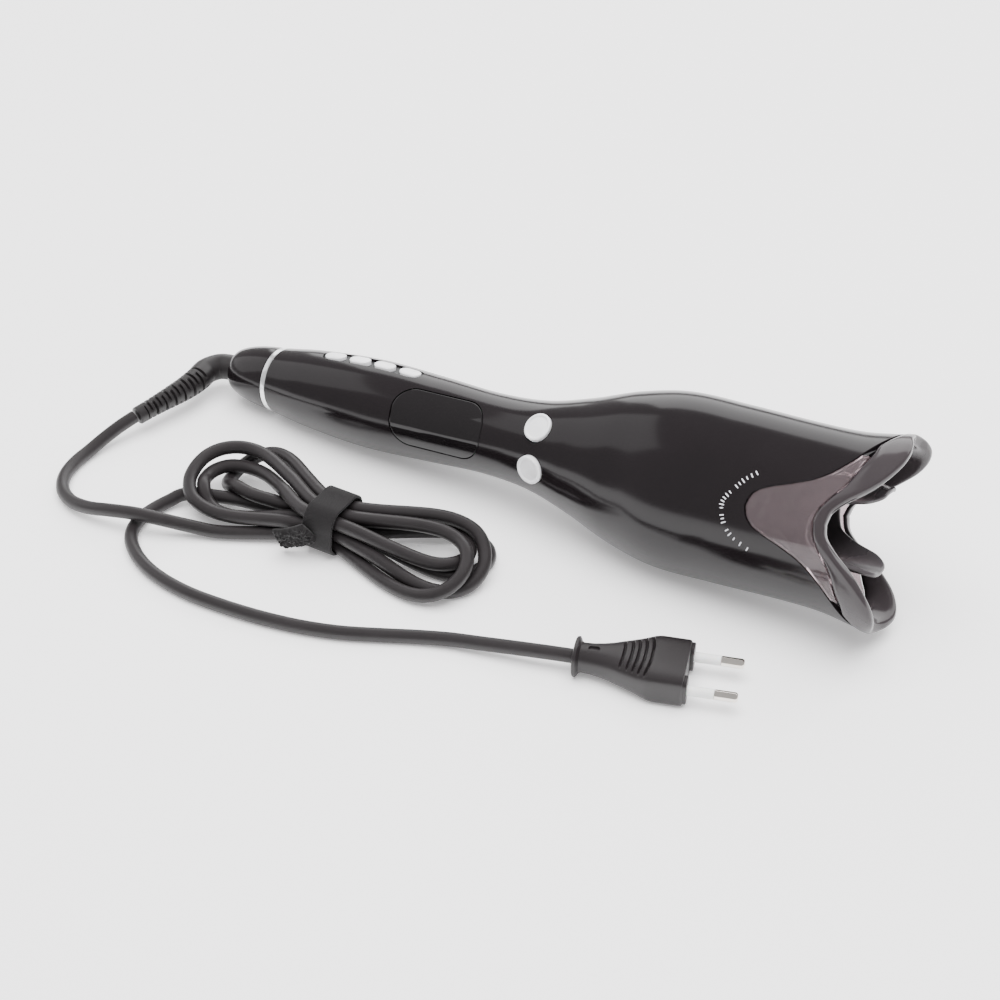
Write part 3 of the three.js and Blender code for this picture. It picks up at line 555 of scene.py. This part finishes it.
def turn_of_hank(side, tip_x, tip_y, near, far, heights, near_slot, far_slot, count=18):
    """Teardrop turn from the near slot round the end of the lobe to the far slot."""
    edge = STRAP_X + side * SLOT_EDGE
    (near_y, near_z), (far_y, far_z) = slot_place(near_slot), slot_place(far_slot)
    height = [(0, near_z), (0.25, heights[0]), (0.5, heights[1]), (0.75, heights[2]), (1, far_z)]
    points = []
    for k in range(1, count):
        t = k / count
        start, widest = (near_y, near) if t < 0.5 else (far_y, far)
        away = 1 - abs(2 * t - 1)  # 0 at the strap, 1 at the end of the lobe
        if away < 0.5:
            y = start + (widest - start) * float(smoothstep(away, -0.12, 0.5) - 0.0945) / 0.9055
        else:
            y = widest + (tip_y - widest) * (1 - math.cos((away - 0.5) * math.pi))
        x = edge + (tip_x - edge) * math.sin(math.pi * t)
        points.append((x, y, float(along(height, t))))
    return points


def spline(points, step):
    """Points every step along a smooth curve (centripetal Catmull-Rom) through the points."""
    points = np.asarray(points, float)
    points = np.vstack([2 * points[0] - points[1], points, 2 * points[-1] - points[-2]])
    line = []
    for a, b, c, d in zip(points, points[1:], points[2:], points[3:]):
        t0 = 0.0
        t1 = t0 + math.sqrt(np.linalg.norm(b - a))
        t2 = t1 + math.sqrt(np.linalg.norm(c - b))
        t3 = t2 + math.sqrt(np.linalg.norm(d - c))
        for t in np.linspace(t1, t2, 16, endpoint=False):
            p = (t1 - t) / (t1 - t0) * a + (t - t0) / (t1 - t0) * b
            q = (t2 - t) / (t2 - t1) * b + (t - t1) / (t2 - t1) * c
            r = (t3 - t) / (t3 - t2) * c + (t - t2) / (t3 - t2) * d
            u = (t2 - t) / (t2 - t0) * p + (t - t0) / (t2 - t0) * q
            v = (t3 - t) / (t3 - t1) * q + (t - t1) / (t3 - t1) * r
            line.append((t2 - t) / (t2 - t1) * u + (t - t1) / (t2 - t1) * v)
    line.append(points[-2])
    return respaced(np.array(line), step)


def respaced(line, step):
    reach = np.concatenate([[0], np.cumsum(np.linalg.norm(np.diff(line, axis=0), axis=1))])
    at = np.linspace(0, reach[-1], max(2, round(reach[-1] / step) + 1))
    return np.column_stack([np.interp(at, reach, line[:, k]) for k in range(3)])


def cord_route():
    route = list(FROM_BOOT) + crossing("n1", 1)
    order = [
        (RIGHT_A, False), (LEFT_A, True), (RIGHT_B, False), (LEFT_C, True), (RIGHT_D, True),
        (LEFT_B, True), (RIGHT_C, False),
    ]
    for turn, from_far in order:
        points = turn_of_hank(*turn)
        if from_far:
            points.reverse()
        leaves = turn[6] if from_far else turn[7]
        route += points + crossing(leaves, -turn[0])
    return route + list(TO_PLUG)


def smoothed(line, free, times):
    line = line.copy()
    for _ in range(times):
        middle = (line[:-2] + line[2:]) / 2
        line[1:-1][free[1:-1]] += 0.5 * (middle - line[1:-1])[free[1:-1]]
    return line


def relaxed(line, step):
    """Lets the hank's strands push each other apart, with the leads held."""
    reach = np.arange(len(line)) * step
    free = (reach > HELD_AT_START) & (reach < reach[-1] - HELD_AT_END)
    line = smoothed(line, free, 6)
    near = (reach > 100) & (reach < reach[-1] - 200)
    hank, loose = line[near], free[near]
    start = hank.copy()
    in_strap = np.abs(hank[:, 0] - STRAP_X) < SLOT_EDGE
    hold = np.where(in_strap, 0.2, 0.01)[:, None]
    apart = CORD_DIAMETER + 0.25
    index = np.arange(len(hank))
    not_next = np.abs(index[:, None] - index[None, :]) > 2.5 * CORD_DIAMETER / step
    for turn in range(RELAX_TURNS):
        gap = hank[:, None, :] - hank[None, :, :]
        distance = np.sqrt((gap ** 2).sum(2)) + 1e-9
        push = np.clip(apart - distance, 0, None) * not_next
        move = 0.45 * (gap / distance[..., None] * push[..., None]).sum(1) + hold * (start - hank)
        hank[loose] += np.clip(move, -0.6, 0.6)[loose]
        hank[:, 2] = np.maximum(hank[:, 2], CORD_DIAMETER / 2)
        if turn % 4 == 3 and turn < RELAX_TURNS - 30:
            hank = smoothed(hank, loose & ~in_strap, 2)
    line[near] = smoothed(hank, loose, 2)
    return line


def frames_along(line, up=(0, 0, 1)):
    """Two normals at each point of a line that turn as little as they can."""
    ahead = np.gradient(line, axis=0)
    ahead /= np.linalg.norm(ahead, axis=1, keepdims=True)
    side = np.cross(ahead[0], np.array(up, float))
    if np.linalg.norm(side) < 0.1:
        side = np.cross(ahead[0], (1.0, 0.0, 0.0))
    sides = []
    for direction in ahead:
        side = side - direction * (side @ direction)
        side = side / np.linalg.norm(side)
        sides.append(side)
    sides = np.array(sides)
    return sides, np.cross(ahead, sides)


def tube_mesh(line, radius, sides=16):
    """Rings round a line; radius is a number, or an array of (points, sides)."""
    across, above = frames_along(line)
    angles = np.linspace(0, 2 * math.pi, sides, endpoint=False)
    radii = np.broadcast_to(radius, (len(line), sides))[..., None]
    around = (np.cos(angles)[None, :, None] * across[:, None, :]
              + np.sin(angles)[None, :, None] * above[:, None, :])
    return rings_mesh(line[:, None, :] + radii * around)


STEP = 2.0
cord_line = relaxed(spline(cord_route(), STEP), STEP)
cord_line = respaced(cord_line, 1.6)
points, faces = tube_mesh(cord_line, CORD_DIAMETER / 2)
cord = make("cord", points, faces, RUBBER, in_row)
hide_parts("cord_from_boot", "cord_to_plug", "cord_hank")
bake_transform(cord)


# ---- Plug ----
def plug_section(width, height, square, count=72):
    angles = np.linspace(0, 2 * math.pi, count, endpoint=False) + math.pi / count
    power = 2 / square
    c, s = np.cos(angles), np.sin(angles)
    return (width * np.sign(c) * np.abs(c) ** power, height * np.sign(s) * np.abs(s) ** power)


# Station, half-width, half-height, squareness
PLUG_STATIONS = [
    (-44, 6.9, 6.1, 2.6), (-43.7, 7.3, 6.5, 2.8), (-43.1, 7.45, 6.6, 3), (-42.6, 7.4, 6.55, 3),
    (-42.1, 6.8, 6, 2.8), (-41.6, 5.9, 5.4, 2.5), (-40.8, 5.6, 5.2, 2.4), (-37, 5.9, 5.3, 2.4),
    (-33, 6.6, 5.5, 2.6), (-29.5, 7.6, 5.75, 2.8), (-26, 9, 6.05, 3), (-22.5, 10.3, 6.3, 3.2),
    (-19, 11.6, 6.5, 3.6), (-16.5, 12.5, 6.7, 4.2), (-14.8, 12.9, 6.8, 5), (-12, 13.1, 6.85, 6),
    (-2.4, 13.1, 6.85, 6), (-1.7, 12.95, 6.7, 6), (-1.35, 12.6, 6.3, 6), (-1.3, 12.2, 5.9, 6),
]
GRIP_STATIONS = [-25.1, -22.2, -19.7, -17.1, -14.5]


def at_pin(side):
    """A placing function for points given along one pin's axis."""
    return lambda points: on_plug(np.asarray(points) + (0, side * PIN_PITCH / 2, 0))


def pin_bore(side, start):
    radius = PIN_RADIUS + 0.12
    outline = [(start, 0.01), (start, radius), (2, radius), (2, 0.01)]
    return turned("bore", outline, None, 0, 48, at_pin(side))


def plug_body():
    table = np.array(PLUG_STATIONS)
    stations = np.unique(np.concatenate([table[:, 0], np.arange(-27, -12, 0.2)]))
    rings = []
    for x in stations:
        width, height, square = (float(along([(row[0], row[k]) for row in PLUG_STATIONS], x))
                                 for k in (1, 2, 3))
        y, z = plug_section(width, height, square)
        bow = x + 1.6 * (y / 11) ** 2
        inside = smoothstep(np.abs(y), width - 1, width - 2.8) * smoothstep(np.abs(z), 1.5, 3)
        dent = np.zeros(len(y))
        for groove in GRIP_STATIONS:
            dent = np.maximum(dent, np.exp(-((bow - groove) / 0.42) ** 4))
        z = z * (1 - 0.19 * dent * inside)
        rings.append(np.column_stack([np.full(len(y), x), y, z]))
    points, faces = rings_mesh(rings)
    body = make("plug", points, faces, PLUG_PLASTIC, on_plug, sharp=50)
    recess = stacked("recess", 4.4, 2.6, 1.2, [(0.3, 4.5), (0, 5), (0, 9)], None,
                     lambda p: on_plug(np.asarray(p) + (-36.5, 0, 0)))
    return subtract(body, pin_bore(1, -13), pin_bore(-1, -13), recess)


def plug_pad(side):
    """Raised pad on the plug's face, round one pin."""
    def place(points):
        points = np.asarray(points, float)
        return on_plug(np.column_stack([points[:, 2], points[:, 0] + side * PIN_PITCH / 2,
                                        points[:, 1]]))
    pad = stacked("pad", 6.6, 11, 2.2, [(0, -1.6), (0, -0.35), (0.1, -0.12), (0.35, 0)],
                  PLUG_PLASTIC, place)
    return subtract(pad, pin_bore(side, -3))


plug = plug_body()
pads = [plug_pad(1), plug_pad(-1)]
with bpy.context.temp_override(active_object=plug, selected_editable_objects=[plug, *pads]):
    bpy.ops.object.join()
plug = settle(plug, "housing", "plug_plastic", "plug_body")
for name, side in (("left", 1), ("right", -1)):
    pin = turned(f"plug_pin_{name}_metal", [
        (-12, 0.01), (-12, 1.5), (10.15, 1.5), (10.15, PIN_RADIUS), (18.1, PIN_RADIUS),
        (18.8, 1.45), (19, 0.01)], NICKEL, [0, 0.1, 0.1, 0.15, 0.5, 0.3, 0], 64,
        at_pin(side))
    sleeve = turned(f"plug_sleeve_{name}_white", [
        (-11, 1.56), (-11, PIN_RADIUS), (10, PIN_RADIUS), (10, 1.56)], SLEEVE,
        [0.05, 0.1, 0.25, 0.1], 64, at_pin(side))
    settle(pin, "housing", "nickel", f"plug_pin_{name}")
    settle(sleeve, "housing", "plug_sleeve", f"plug_sleeve_{name}")

# ---- Strap: a woven band round the hank, its end folded back on the near side ----
STRAP_HALF = 11.4
STRAP_LOW = 0.95
STRAP_HIGH = 21.2


def strap_path(grow=0.0, count=400):
    """Closed outline round the strands in (y, z) with an even spacing."""
    low, high = STRAP_LOW - grow, STRAP_HIGH + grow
    outline = pill_outline(2 * (STRAP_HALF + grow), high - low, 7.0, 24)
    outline = np.vstack([outline, outline[:1]])
    line = np.column_stack([outline, np.zeros(len(outline))])
    reach = np.concatenate([[0], np.cumsum(np.linalg.norm(np.diff(line, axis=0), axis=1))])
    at = np.linspace(0, reach[-1], count, endpoint=False)
    y, z = (np.interp(at, reach, line[:, k]) for k in (0, 1))
    return np.column_stack([y, z + (low + high) / 2]), reach[-1]


def strap_band():
    count, across = 420, 72
    path, length = strap_path(count=count)
    ahead = np.roll(path, -1, axis=0) - np.roll(path, 1, axis=0)
    ahead /= np.linalg.norm(ahead, axis=1, keepdims=True)
    out = np.column_stack([ahead[:, 1], -ahead[:, 0]])
    u = np.linspace(-1, 1, across)
    half = STRAP_WIDTH / 2 - 0.1
    s = np.arange(count) / count * length
    thread = 0.85
    weave = (np.sin(s[:, None] * 2 * math.pi / thread)
             * np.sin(u[None, :] * half * 2 * math.pi / thread))
    edge = np.clip((1 - np.abs(u)) / 0.07, 0, 1)
    thick = 0.62 * np.sqrt(1 - (1 - edge) ** 2) + 0.02
    slack = 0.22 * np.sin(s * 2 * math.pi / 17.0)
    skew = 0.5 * np.sin(s * 2 * math.pi / length)
    rings = []
    for k in range(count):
        lift = np.concatenate([thick + 0.07 * weave[k] * edge, (-thick * 0.9)[::-1]])
        x = STRAP_X + skew[k] + np.concatenate([u, u[::-1]]) * half
        y = STRAP_Y + path[k, 0] + out[k, 0] * (lift + slack[k])
        z = np.maximum(path[k, 1] + out[k, 1] * (lift + slack[k]), 0.12)
        rings.append(np.column_stack([x, y, z]))
    points, faces = rings_mesh(rings, closed=True)
    return make("strap_band", points, faces, CLOTH, in_row, 60)


strap = settle(strap_band(), "housing", "hook_and_loop", "cord_strap")


def ribbon(name, line, width, thick, lean, finish, rough, seed):
    """A strip along a line, with a ragged, lumpy surface; lean tilts it about the line."""
    draw = np.random.default_rng(seed)
    line = spline(line, 0.35)
    across, above = frames_along(line)
    u = np.linspace(-1, 1, 30)
    edge = np.sqrt(np.clip(1 - u ** 6, 0, 1))
    lumps = draw.normal(size=(len(line), len(u)))
    lumps = (lumps + np.roll(lumps, 1, 0) + np.roll(lumps, 1, 1) + np.roll(lumps, -1, 0)) / 3
    ahead = np.gradient(line, axis=0)
    rings = []
    for k, centre in enumerate(line):
        side = across[k] * math.cos(lean) + above[k] * math.sin(lean)
        up = np.cross(ahead[k], side)
        up /= np.linalg.norm(up)
        end = min(1, k / 2.5, (len(line) - 1 - k) / 2.5)
        high = thick / 2 * edge * (0.35 + 0.65 * end)
        middle = centre + side * (u * width / 2)[:, None]
        top = middle + up * (high + rough * lumps[k] * edge)[:, None]
        low = middle - up * high[:, None]
        rings.append(np.vstack([top, low[::-1]]))
    rings = np.array(rings)
    rings[..., 2] = np.maximum(rings[..., 2], 0.15)
    points, faces = rings_mesh(rings)
    return make(name, points, faces, finish, in_row, 60)


# ---- Boot: stem and elbow, then open ribs that taper to the cord ----
def boot():
    axis_point = lambda x: tuple(np.array([x, 0, 0]) @ AXES + RING_PLACE)
    line = spline([
        axis_point(-18.8), axis_point(-24.5), (-164.2, -1, 11.4), (-167.4, -6.6, 11.4),
        (-167.2, -13.4, 11.3), (-168, -21, 11), (-170.4, -30, 10.4), (-173.2, -39, 9.6),
        (-175.4, -46.2, 9),
    ], 0.2)
    count, sides = len(line), 64
    reach = np.arange(count) * 0.2
    total = reach[-1]
    angles = np.linspace(0, 2 * math.pi, sides, endpoint=False)
    taper = 5.6 - 1.7 * smoothstep(reach / total, 0.35, 1)
    pitch, slit = 2.35, 0.95
    first, last = total * 0.42, total * 0.94
    ribs = np.floor((reach - first) / pitch)
    within = (reach > first) & (reach < last)
    phase = (reach - first) - ribs * pitch
    depth = smoothstep(np.abs(phase - slit / 2), slit / 2 + 0.12, slit / 2 - 0.12) * within
    turn = np.where(ribs % 2 == 0, 0.0, math.pi / 2)
    spine = np.abs(np.cos(angles[None, :] - turn[:, None]))
    open_side = smoothstep(spine, 0.97, 0.9)
    ends = fillet(np.minimum(reach, total - reach), 0.5)
    cut = 1.25 * depth[:, None] * open_side
    return make("boot", *tube_mesh(line, taper[:, None] - cut - ends[:, None], sides), BOOT_RUBBER,
                in_row, 45)


settle(boot(), "swivel", "rubber", "cord_boot")
settle(turned("collar", [
    (-18.4, 2), (-18.4, 6), (-2.6, 6), (-2.6, 8.8), (1.4, 8.8), (1.4, 2)], BOOT_RUBBER, 0.35, 72),
    "swivel", "rubber", "swivel_collar")

TAIL_LINE = [(STRAP_X - 1.5, -79.1, 13.6), (STRAP_X - 5, -80.3, 11.6), (STRAP_X - 8.6, -81.4, 9.8),
             (STRAP_X - 12.2, -82.4, 8.6), (STRAP_X - 15.2, -83, 8)]
tail = settle(ribbon("strap_tail", TAIL_LINE, 12, 3.2, 1.25, FUZZ, 0.42, 4),
              "housing", "hook_and_loop")


# ---- Housing halves ----
def spaced_angles(limit, step, fine):
    inner = np.arange(-limit + 2, limit - 1.99, step)
    edge = np.array([limit - f for f in fine])
    return np.unique(np.round(np.concatenate([-edge, inner, edge]), 4))


def housing_half(name, middle):
    start = RING_WIDTH + GAP
    reach = spaced_angles(90, 2, (0, 0.15, 0.4, 0.8, 1.3))
    parts = np.linspace(0, 1, 130)
    angle = middle + reach
    end = seam_at(angle) - GAP
    x = start + (end - start)[None, :] * parts[:, None]
    x = np.concatenate([start + np.array([[0.12], [0.35]]) + 0 * end[None, :], x,
                        end[None, :] - np.array([[0.35], [0.12]])])
    x = np.sort(x, axis=0)
    width = half_width(x)
    edge = 90 - np.degrees(np.arcsin(GAP / 2 / half_depth(x)))
    turn = np.clip(reach[None, :], -edge, edge)
    to_side = np.radians(90 - np.abs(reach))[None, :] * width
    depth = fillet(np.minimum(x - start, end[None, :] - x), 0.4) + fillet(to_side, 0.4)
    outer = skin(x, middle + turn, depth)
    inner = skin(x, middle + turn, WALL)
    return make(name, *shell_mesh(outer, inner), GLOSS)


def key_place(points):
    """Places points given along, across and above the skin at the row of keys."""
    points = np.asarray(points, float)
    station = KEY_MIDDLE + points[:, 0]
    foot = skin(station, KEY_ANGLE + np.degrees(points[:, 1] / half_width(station)))
    flat = skin_frame(KEY_MIDDLE, KEY_ANGLE)
    level = (foot - flat[0]) @ flat[1].T
    level[:, 1] = points[:, 1]
    level[:, 2] += points[:, 2]
    return on_curler(level @ flat[1] + flat[0])


def block(length, width, corner, low, high, place):
    return stacked("cutter", length, width, corner, [(0, low), (0, high)], None, place)


def button_bore(side):
    radius = BUTTON_RADIUS + GAP
    return turned("cutter", [(-6, 0.01), (-6, radius), (6, radius), (6, 0.01)], None, 0, 96,
                  on_skin(BUTTON_STATION, side * BUTTON_ANGLE), "z")


front = housing_half("front_shell", 0)
display_middle = (DISPLAY_FROM + DISPLAY_TO) / 2
subtract(
    front,
    block(DISPLAY_TO - DISPLAY_FROM, 2 * DISPLAY_HALF, DISPLAY_CORNER, 5, 30,
          lambda p: on_curler(np.asarray(p) + (display_middle, 0, 0))),
    button_bore(1),
    button_bore(-1),
    block(KEY_ROW + 2, KEY_WIDTH + 2, KEY_WIDTH / 2 + 0.95, -4, 5, key_place),
)
polish(front)
settle(front, "housing", "black_gloss", "front_housing")

SCREW_PLACES = [(14, 180), (118, 160), (118, 200), (172, 180)]
SCREW_HOLE = 2.7
back = housing_half("back_shell", 180)
holes = [block(2 * SCREW_HOLE, 2 * SCREW_HOLE, SCREW_HOLE - 0.01, -WALL - 0.5, 4, on_skin(*place))
         for place in SCREW_PLACES]
subtract(back, *holes, solver="MANIFOLD")
polish(back)
settle(back, "housing", "black_gloss", "back_housing")


# ---- Mouth: two smoked windows and the rim round the petals ----
def window(name, middle):
    reach = spaced_angles(WINDOW_ARM, 1.5, (0, 0.15, 0.5, 1))
    angle = middle + reach
    start, end = seam_at(angle) + GAP, rim_start_at(angle) - GAP
    parts = np.concatenate([[0, 0.01, 0.03], np.linspace(0.06, 0.94, 24), [0.97, 0.99, 1]])
    x = start + (end - start) * parts[:, None]
    side = np.radians(WINDOW_ARM - np.abs(reach))[None, :] * half_width(x)
    depth = fillet(np.minimum(x - start, end - x), 0.3) + fillet(side, 0.3)
    piece = make(name, *shell_mesh(skin(x, angle, depth), skin(x, angle, WINDOW_WALL)), WINDOW)
    polish(piece)
    return piece


settle(window("window_front", 0), "housing", "smoked_window", "front_window")
settle(window("window_back", 180), "housing", "smoked_window", "back_window")


def rim():
    angles = np.arange(0, 360, 1.5)
    start, end = rim_start_at(angles), mouth_at(angles)
    middle, half = (start + end) / 2, (end - start) / 2
    turn = np.linspace(0, 2 * math.pi, 56, endpoint=False)
    c, s = np.cos(turn), np.sin(turn)
    high = (RIM_DEPTH + RIM_LIP) / 2
    rings = []
    for k, angle in enumerate(angles):
        x = middle[k] + half[k] * np.sign(c) * np.abs(c) ** 0.55
        depth = RIM_DEPTH - high - high * np.sign(s) * np.abs(s) ** 0.7
        rings.append(skin(x, angle, depth))
    return make("petal_rim", *rings_mesh(rings, closed=True), RIM, sharp=60)


settle(rim(), "housing", "smoked_rim", "mouth_rim")


# ---- Rotor and heated barrel ----
def rotor():
    angles = np.arange(0, 360, 1.5)
    # Station of the tongues' edge against the distance from the gap's middle
    notch = [(0, ROTOR_NOTCH), (4, ROTOR_NOTCH + 0.5), (8, ROTOR_NOTCH + 2.2),
             (9.8, ROTOR_NOTCH + 4.6), (11.4, ROTOR_NOTCH + 8.4), (12.7, ROTOR_NOTCH + 13.2),
             (13.9, ROTOR_TIP - 6), (15.2, ROTOR_TIP - 2.6), (16.4, ROTOR_TIP - 0.6),
             (ROTOR_RADIUS, ROTOR_TIP - 0.1)]
    rings = []
    for angle in np.radians(angles):
        tip = float(along(notch, ROTOR_RADIUS * abs(math.sin(angle + ROTOR_TURN))))
        inner = ROTOR_RADIUS - ROTOR_WALL
        outline = rounded([
            (203.3, 11.6), (203.3, 14), (204, 14), (204, ROTOR_RADIUS), (tip, ROTOR_RADIUS),
            (tip, inner), (206, inner), (206, 11.6),
        ], [0.1, 0.2, 0.1, 0.6, 1, 1, 0.4, 0.1], 8)
        stations = outline[:, 0]
        rings.append(np.column_stack([
            stations, outline[:, 1] * math.sin(angle), outline[:, 1] * math.cos(angle)]))
    return make("rotor_shell", *rings_mesh(rings, closed=True), ROTOR)


settle(rotor(), "rotor", "rotor_plastic", "rotor")
settle(turned("barrel", [
    (BARREL_START, 8.6), (BARREL_START, BARREL_RADIUS), (BARREL_END, BARREL_RADIUS),
    (BARREL_END, 8.6)], CERAMIC, 0.4), "housing", "ceramic_coating", "heated_barrel")
settle(turned("barrel_end", [
    (BARREL_END + GAP, 0.01), (BARREL_END + GAP, 9.95), (BARREL_END + 1.6, 9.8),
    (BARREL_END + 3, 8.8), (BARREL_END + 4.4, 7), (BARREL_END + 5.4, 4), (BARREL_END + 5.8, 0.01)],
    DARK, [0, 0.2, 0.6, 1, 1, 1.5, 0]), "housing", "dark_plastic", "barrel_tip")


# ---- Handle fittings ----
def display_lens():
    outline = pill_outline(DISPLAY_TO - DISPLAY_FROM - 2 * GAP, 2 * (DISPLAY_HALF - GAP),
                           DISPLAY_CORNER - GAP, 18)
    middle = (DISPLAY_FROM + DISPLAY_TO) / 2
    parts = [1, 1, 0.995, 0.985, 0.97]
    depths = [LENS_THICKNESS, 0.35, 0.16, 0.05, 0]
    parts += list(np.linspace(0.93, 0.02, 22))
    depths += [0] * 22
    rings = []
    for part, depth in zip(parts, depths):
        x = middle + outline[:, 0] * part
        y = outline[:, 1] * part
        angle = np.degrees(np.arcsin(y / half_width(x)))
        rings.append(skin(x, angle, depth))
    piece = make("display_panel", *rings_mesh(rings), LENS)
    polish(piece)
    return piece


settle(display_lens(), "housing", "display_glass", "display_lens")

for name, side in (("left_button", 1), ("right_button", -1)):
    cap = turned(f"{name}_cap", [
        (-3.6, 0.01), (-3.6, BUTTON_RADIUS), (0.75, BUTTON_RADIUS), (1.05, BUTTON_RADIUS - 0.4),
        (1.0, BUTTON_RADIUS - 0.95), (0.5, BUTTON_RADIUS - 1.4), (0.55, BUTTON_RADIUS - 2.6),
        (0.75, 0.01)], SILVER, [0, 0.3, 0.25, 0.3, 0.3, 0.3, 1.2, 0], 96,
        on_skin(BUTTON_STATION, side * BUTTON_ANGLE), "z")
    settle(cap, name, "silver_button", name)

bezel = stacked("key_surround", KEY_ROW + 1.4, KEY_WIDTH + 1.4, KEY_WIDTH / 2 + 0.65,
                [(0, -BEZEL_DEPTH), (0, -0.5), (0.08, -0.36), (0.25, -0.3)], TRIM, key_place)
subtract(bezel, *[block(KEY_LENGTH + 2 * GAP, KEY_WIDTH + 2 * GAP, KEY_WIDTH / 2 + GAP - 0.05,
                        -5, 5, lambda p, x=x: key_place(np.asarray(p) + (x - KEY_MIDDLE, 0, 0)))
                  for x in KEY_STATIONS])
settle(bezel, "housing", "black_trim", "key_bezel")
KEY_LEVELS = [(0, KEY_TRAVEL + 0.9 - BEZEL_DEPTH), (0, -0.05), (0.05, 0.12), (0.16, 0.24),
              (0.36, 0.34), (0.7, 0.42), (1.2, 0.48), (1.8, 0.53), (2.4, 0.55), (2.8, 0.55)]
for i, x in enumerate(KEY_STATIONS):
    key = stacked(f"key_cap_{i + 1}", KEY_LENGTH, KEY_WIDTH, KEY_WIDTH / 2 - 0.05, KEY_LEVELS,
                  SILVER, lambda p, x=x: key_place(np.asarray(p) + (x - KEY_MIDDLE, 0, 0)))
    settle(key, f"side_key_{i + 1}", "silver_button", f"side_key_{i + 1}")

settle(turned("trim_ring", [(0, 12.4), (0, 14), (RING_WIDTH, 14), (RING_WIDTH, 12.4)], CHROME,
              0.35, 128), "housing", "silver_ring", "silver_ring")
tail_profile = spline([(-GAP, 13.8, 0), (-4, 13.5, 0), (-10, 12.6, 0), (-15, 11.4, 0),
                       (-19, 9.9, 0), (-21, 8.6, 0), (-22, 7, 0)], 0.6)[:, :2]
tail_outline = [(-GAP, 9.2), *[tuple(p) for p in tail_profile], (-22, 6.4), (-3, 6.4), (-3, 9.2)]
settle(turned("handle_end", tail_outline, GLOSS, 0.15, 128), "housing", "black_gloss", "tail_cap")


# ---- Printed marks: a plain row of small dashes round the front seam ----
def dash(x, y, direction, length, width):
    """Thin raised bar on the front face, centred at (x, y), along the direction in degrees."""
    corners = pill_outline(length, width, width / 2 - 0.01, 4)
    c, s = math.cos(math.radians(direction)), math.sin(math.radians(direction))
    px = x + corners[:, 0] * c - corners[:, 1] * s
    py = y + corners[:, 0] * s + corners[:, 1] * c
    angle = np.degrees(np.arcsin(py / half_width(px)))
    return skin(px, angle, -0.03), skin(px, angle, 0.06)


def marks(name, dashes, finish=PRINT):
    points, faces = [], []
    for item in dashes:
        high, low = dash(*item)
        base, count = sum(len(p) for p in points), len(high)
        points += [high, low]
        faces.append(tuple(range(base, base + count)))
        faces.append(tuple(range(base + 2 * count - 1, base + count - 1, -1)))
        for k in range(count):
            k2 = (k + 1) % count
            faces.append((base + k, base + k2, base + count + k2, base + count + k))
    return make(name, np.vstack(points), faces, finish)


ARC = [(-16.6, 236), (-13, 228.6), (-9, 225), (-4.4, 223.2), (0, 223), (5.6, 226.6), (9.5, 229.6),
       (12.8, 233.4)]
arc_dashes = []
for k, y in enumerate(np.linspace(-16.2, 12.6, 23)):
    if k in (5, 9, 16):
        continue
    x = float(along(ARC, y))
    slope = float(along(ARC, y + 0.3) - along(ARC, y - 0.3)) / 0.6
    lean = math.degrees(math.atan2(1, slope)) + 90
    arc_dashes.append((x, y, lean, 1.7 + 0.35 * math.sin(2.4 * k), 0.5))
settle(marks("arc_marks", arc_dashes), "housing", "silver_button")
groove_lines = [(BUTTON_STATION + x, 0, 90, 4.6, 0.3) for x in (-0.8, 0.8)]
settle(marks("button_grooves", groove_lines, TRIM), "housing", "black_trim")

# ---- Floor, lights and surroundings ----
floor_mesh = bpy.data.meshes.new("floor")
floor_mesh.from_pydata([(-4, -4, -0.0002), (4, -4, -0.0002), (4, 4, -0.0002), (-4, 4, -0.0002)],
                       [], [(0, 1, 2, 3)])
floor = bpy.data.objects.new("floor", floor_mesh)
bpy.context.scene.collection.objects.link(floor)
floor_mesh.materials.append(material("pale_floor", (0.93, 0.925, 0.93), 0.6, mottle=0.01,
                                     patch=3, relief=0, Specular_IOR_Level=0.1,
                                     Emission_Color=(1, 0.985, 0.99, 1), Emission_Strength=0.25))


def lamp(name, place, target, size, power, color=(1, 1, 1)):
    data = bpy.data.lights.new(name, "AREA")
    data.shape = "RECTANGLE"
    data.size, data.size_y = size
    data.energy = power
    data.color = color
    thing = bpy.data.objects.new(name, data)
    bpy.context.scene.collection.objects.link(thing)
    thing.location = place
    aim = Vector(target) - Vector(place)
    thing.rotation_euler = aim.to_track_quat("-Z", "Y").to_euler()
    return thing


lamp("back_soft", (-0.2, 2.4, 1.5), (0, 0, 0.1), (4.5, 2.2), 95)
lamp("left_soft", (-2.2, -0.3, 1.3), (0, 0, 0), (2.0, 2.0), 14)
fill = lamp("overhead_fill", (0.1, -0.1, 2.4), (0, 0, 0), (2.6, 2.6), 190)
fill.visible_glossy = False

world = bpy.data.worlds.new("studio")
bpy.context.scene.world = world
world.use_nodes = True
world.node_tree.nodes["Background"].inputs["Color"].default_value = (0.95, 0.93, 0.94, 1)
world.node_tree.nodes["Background"].inputs["Strength"].default_value = 0.6
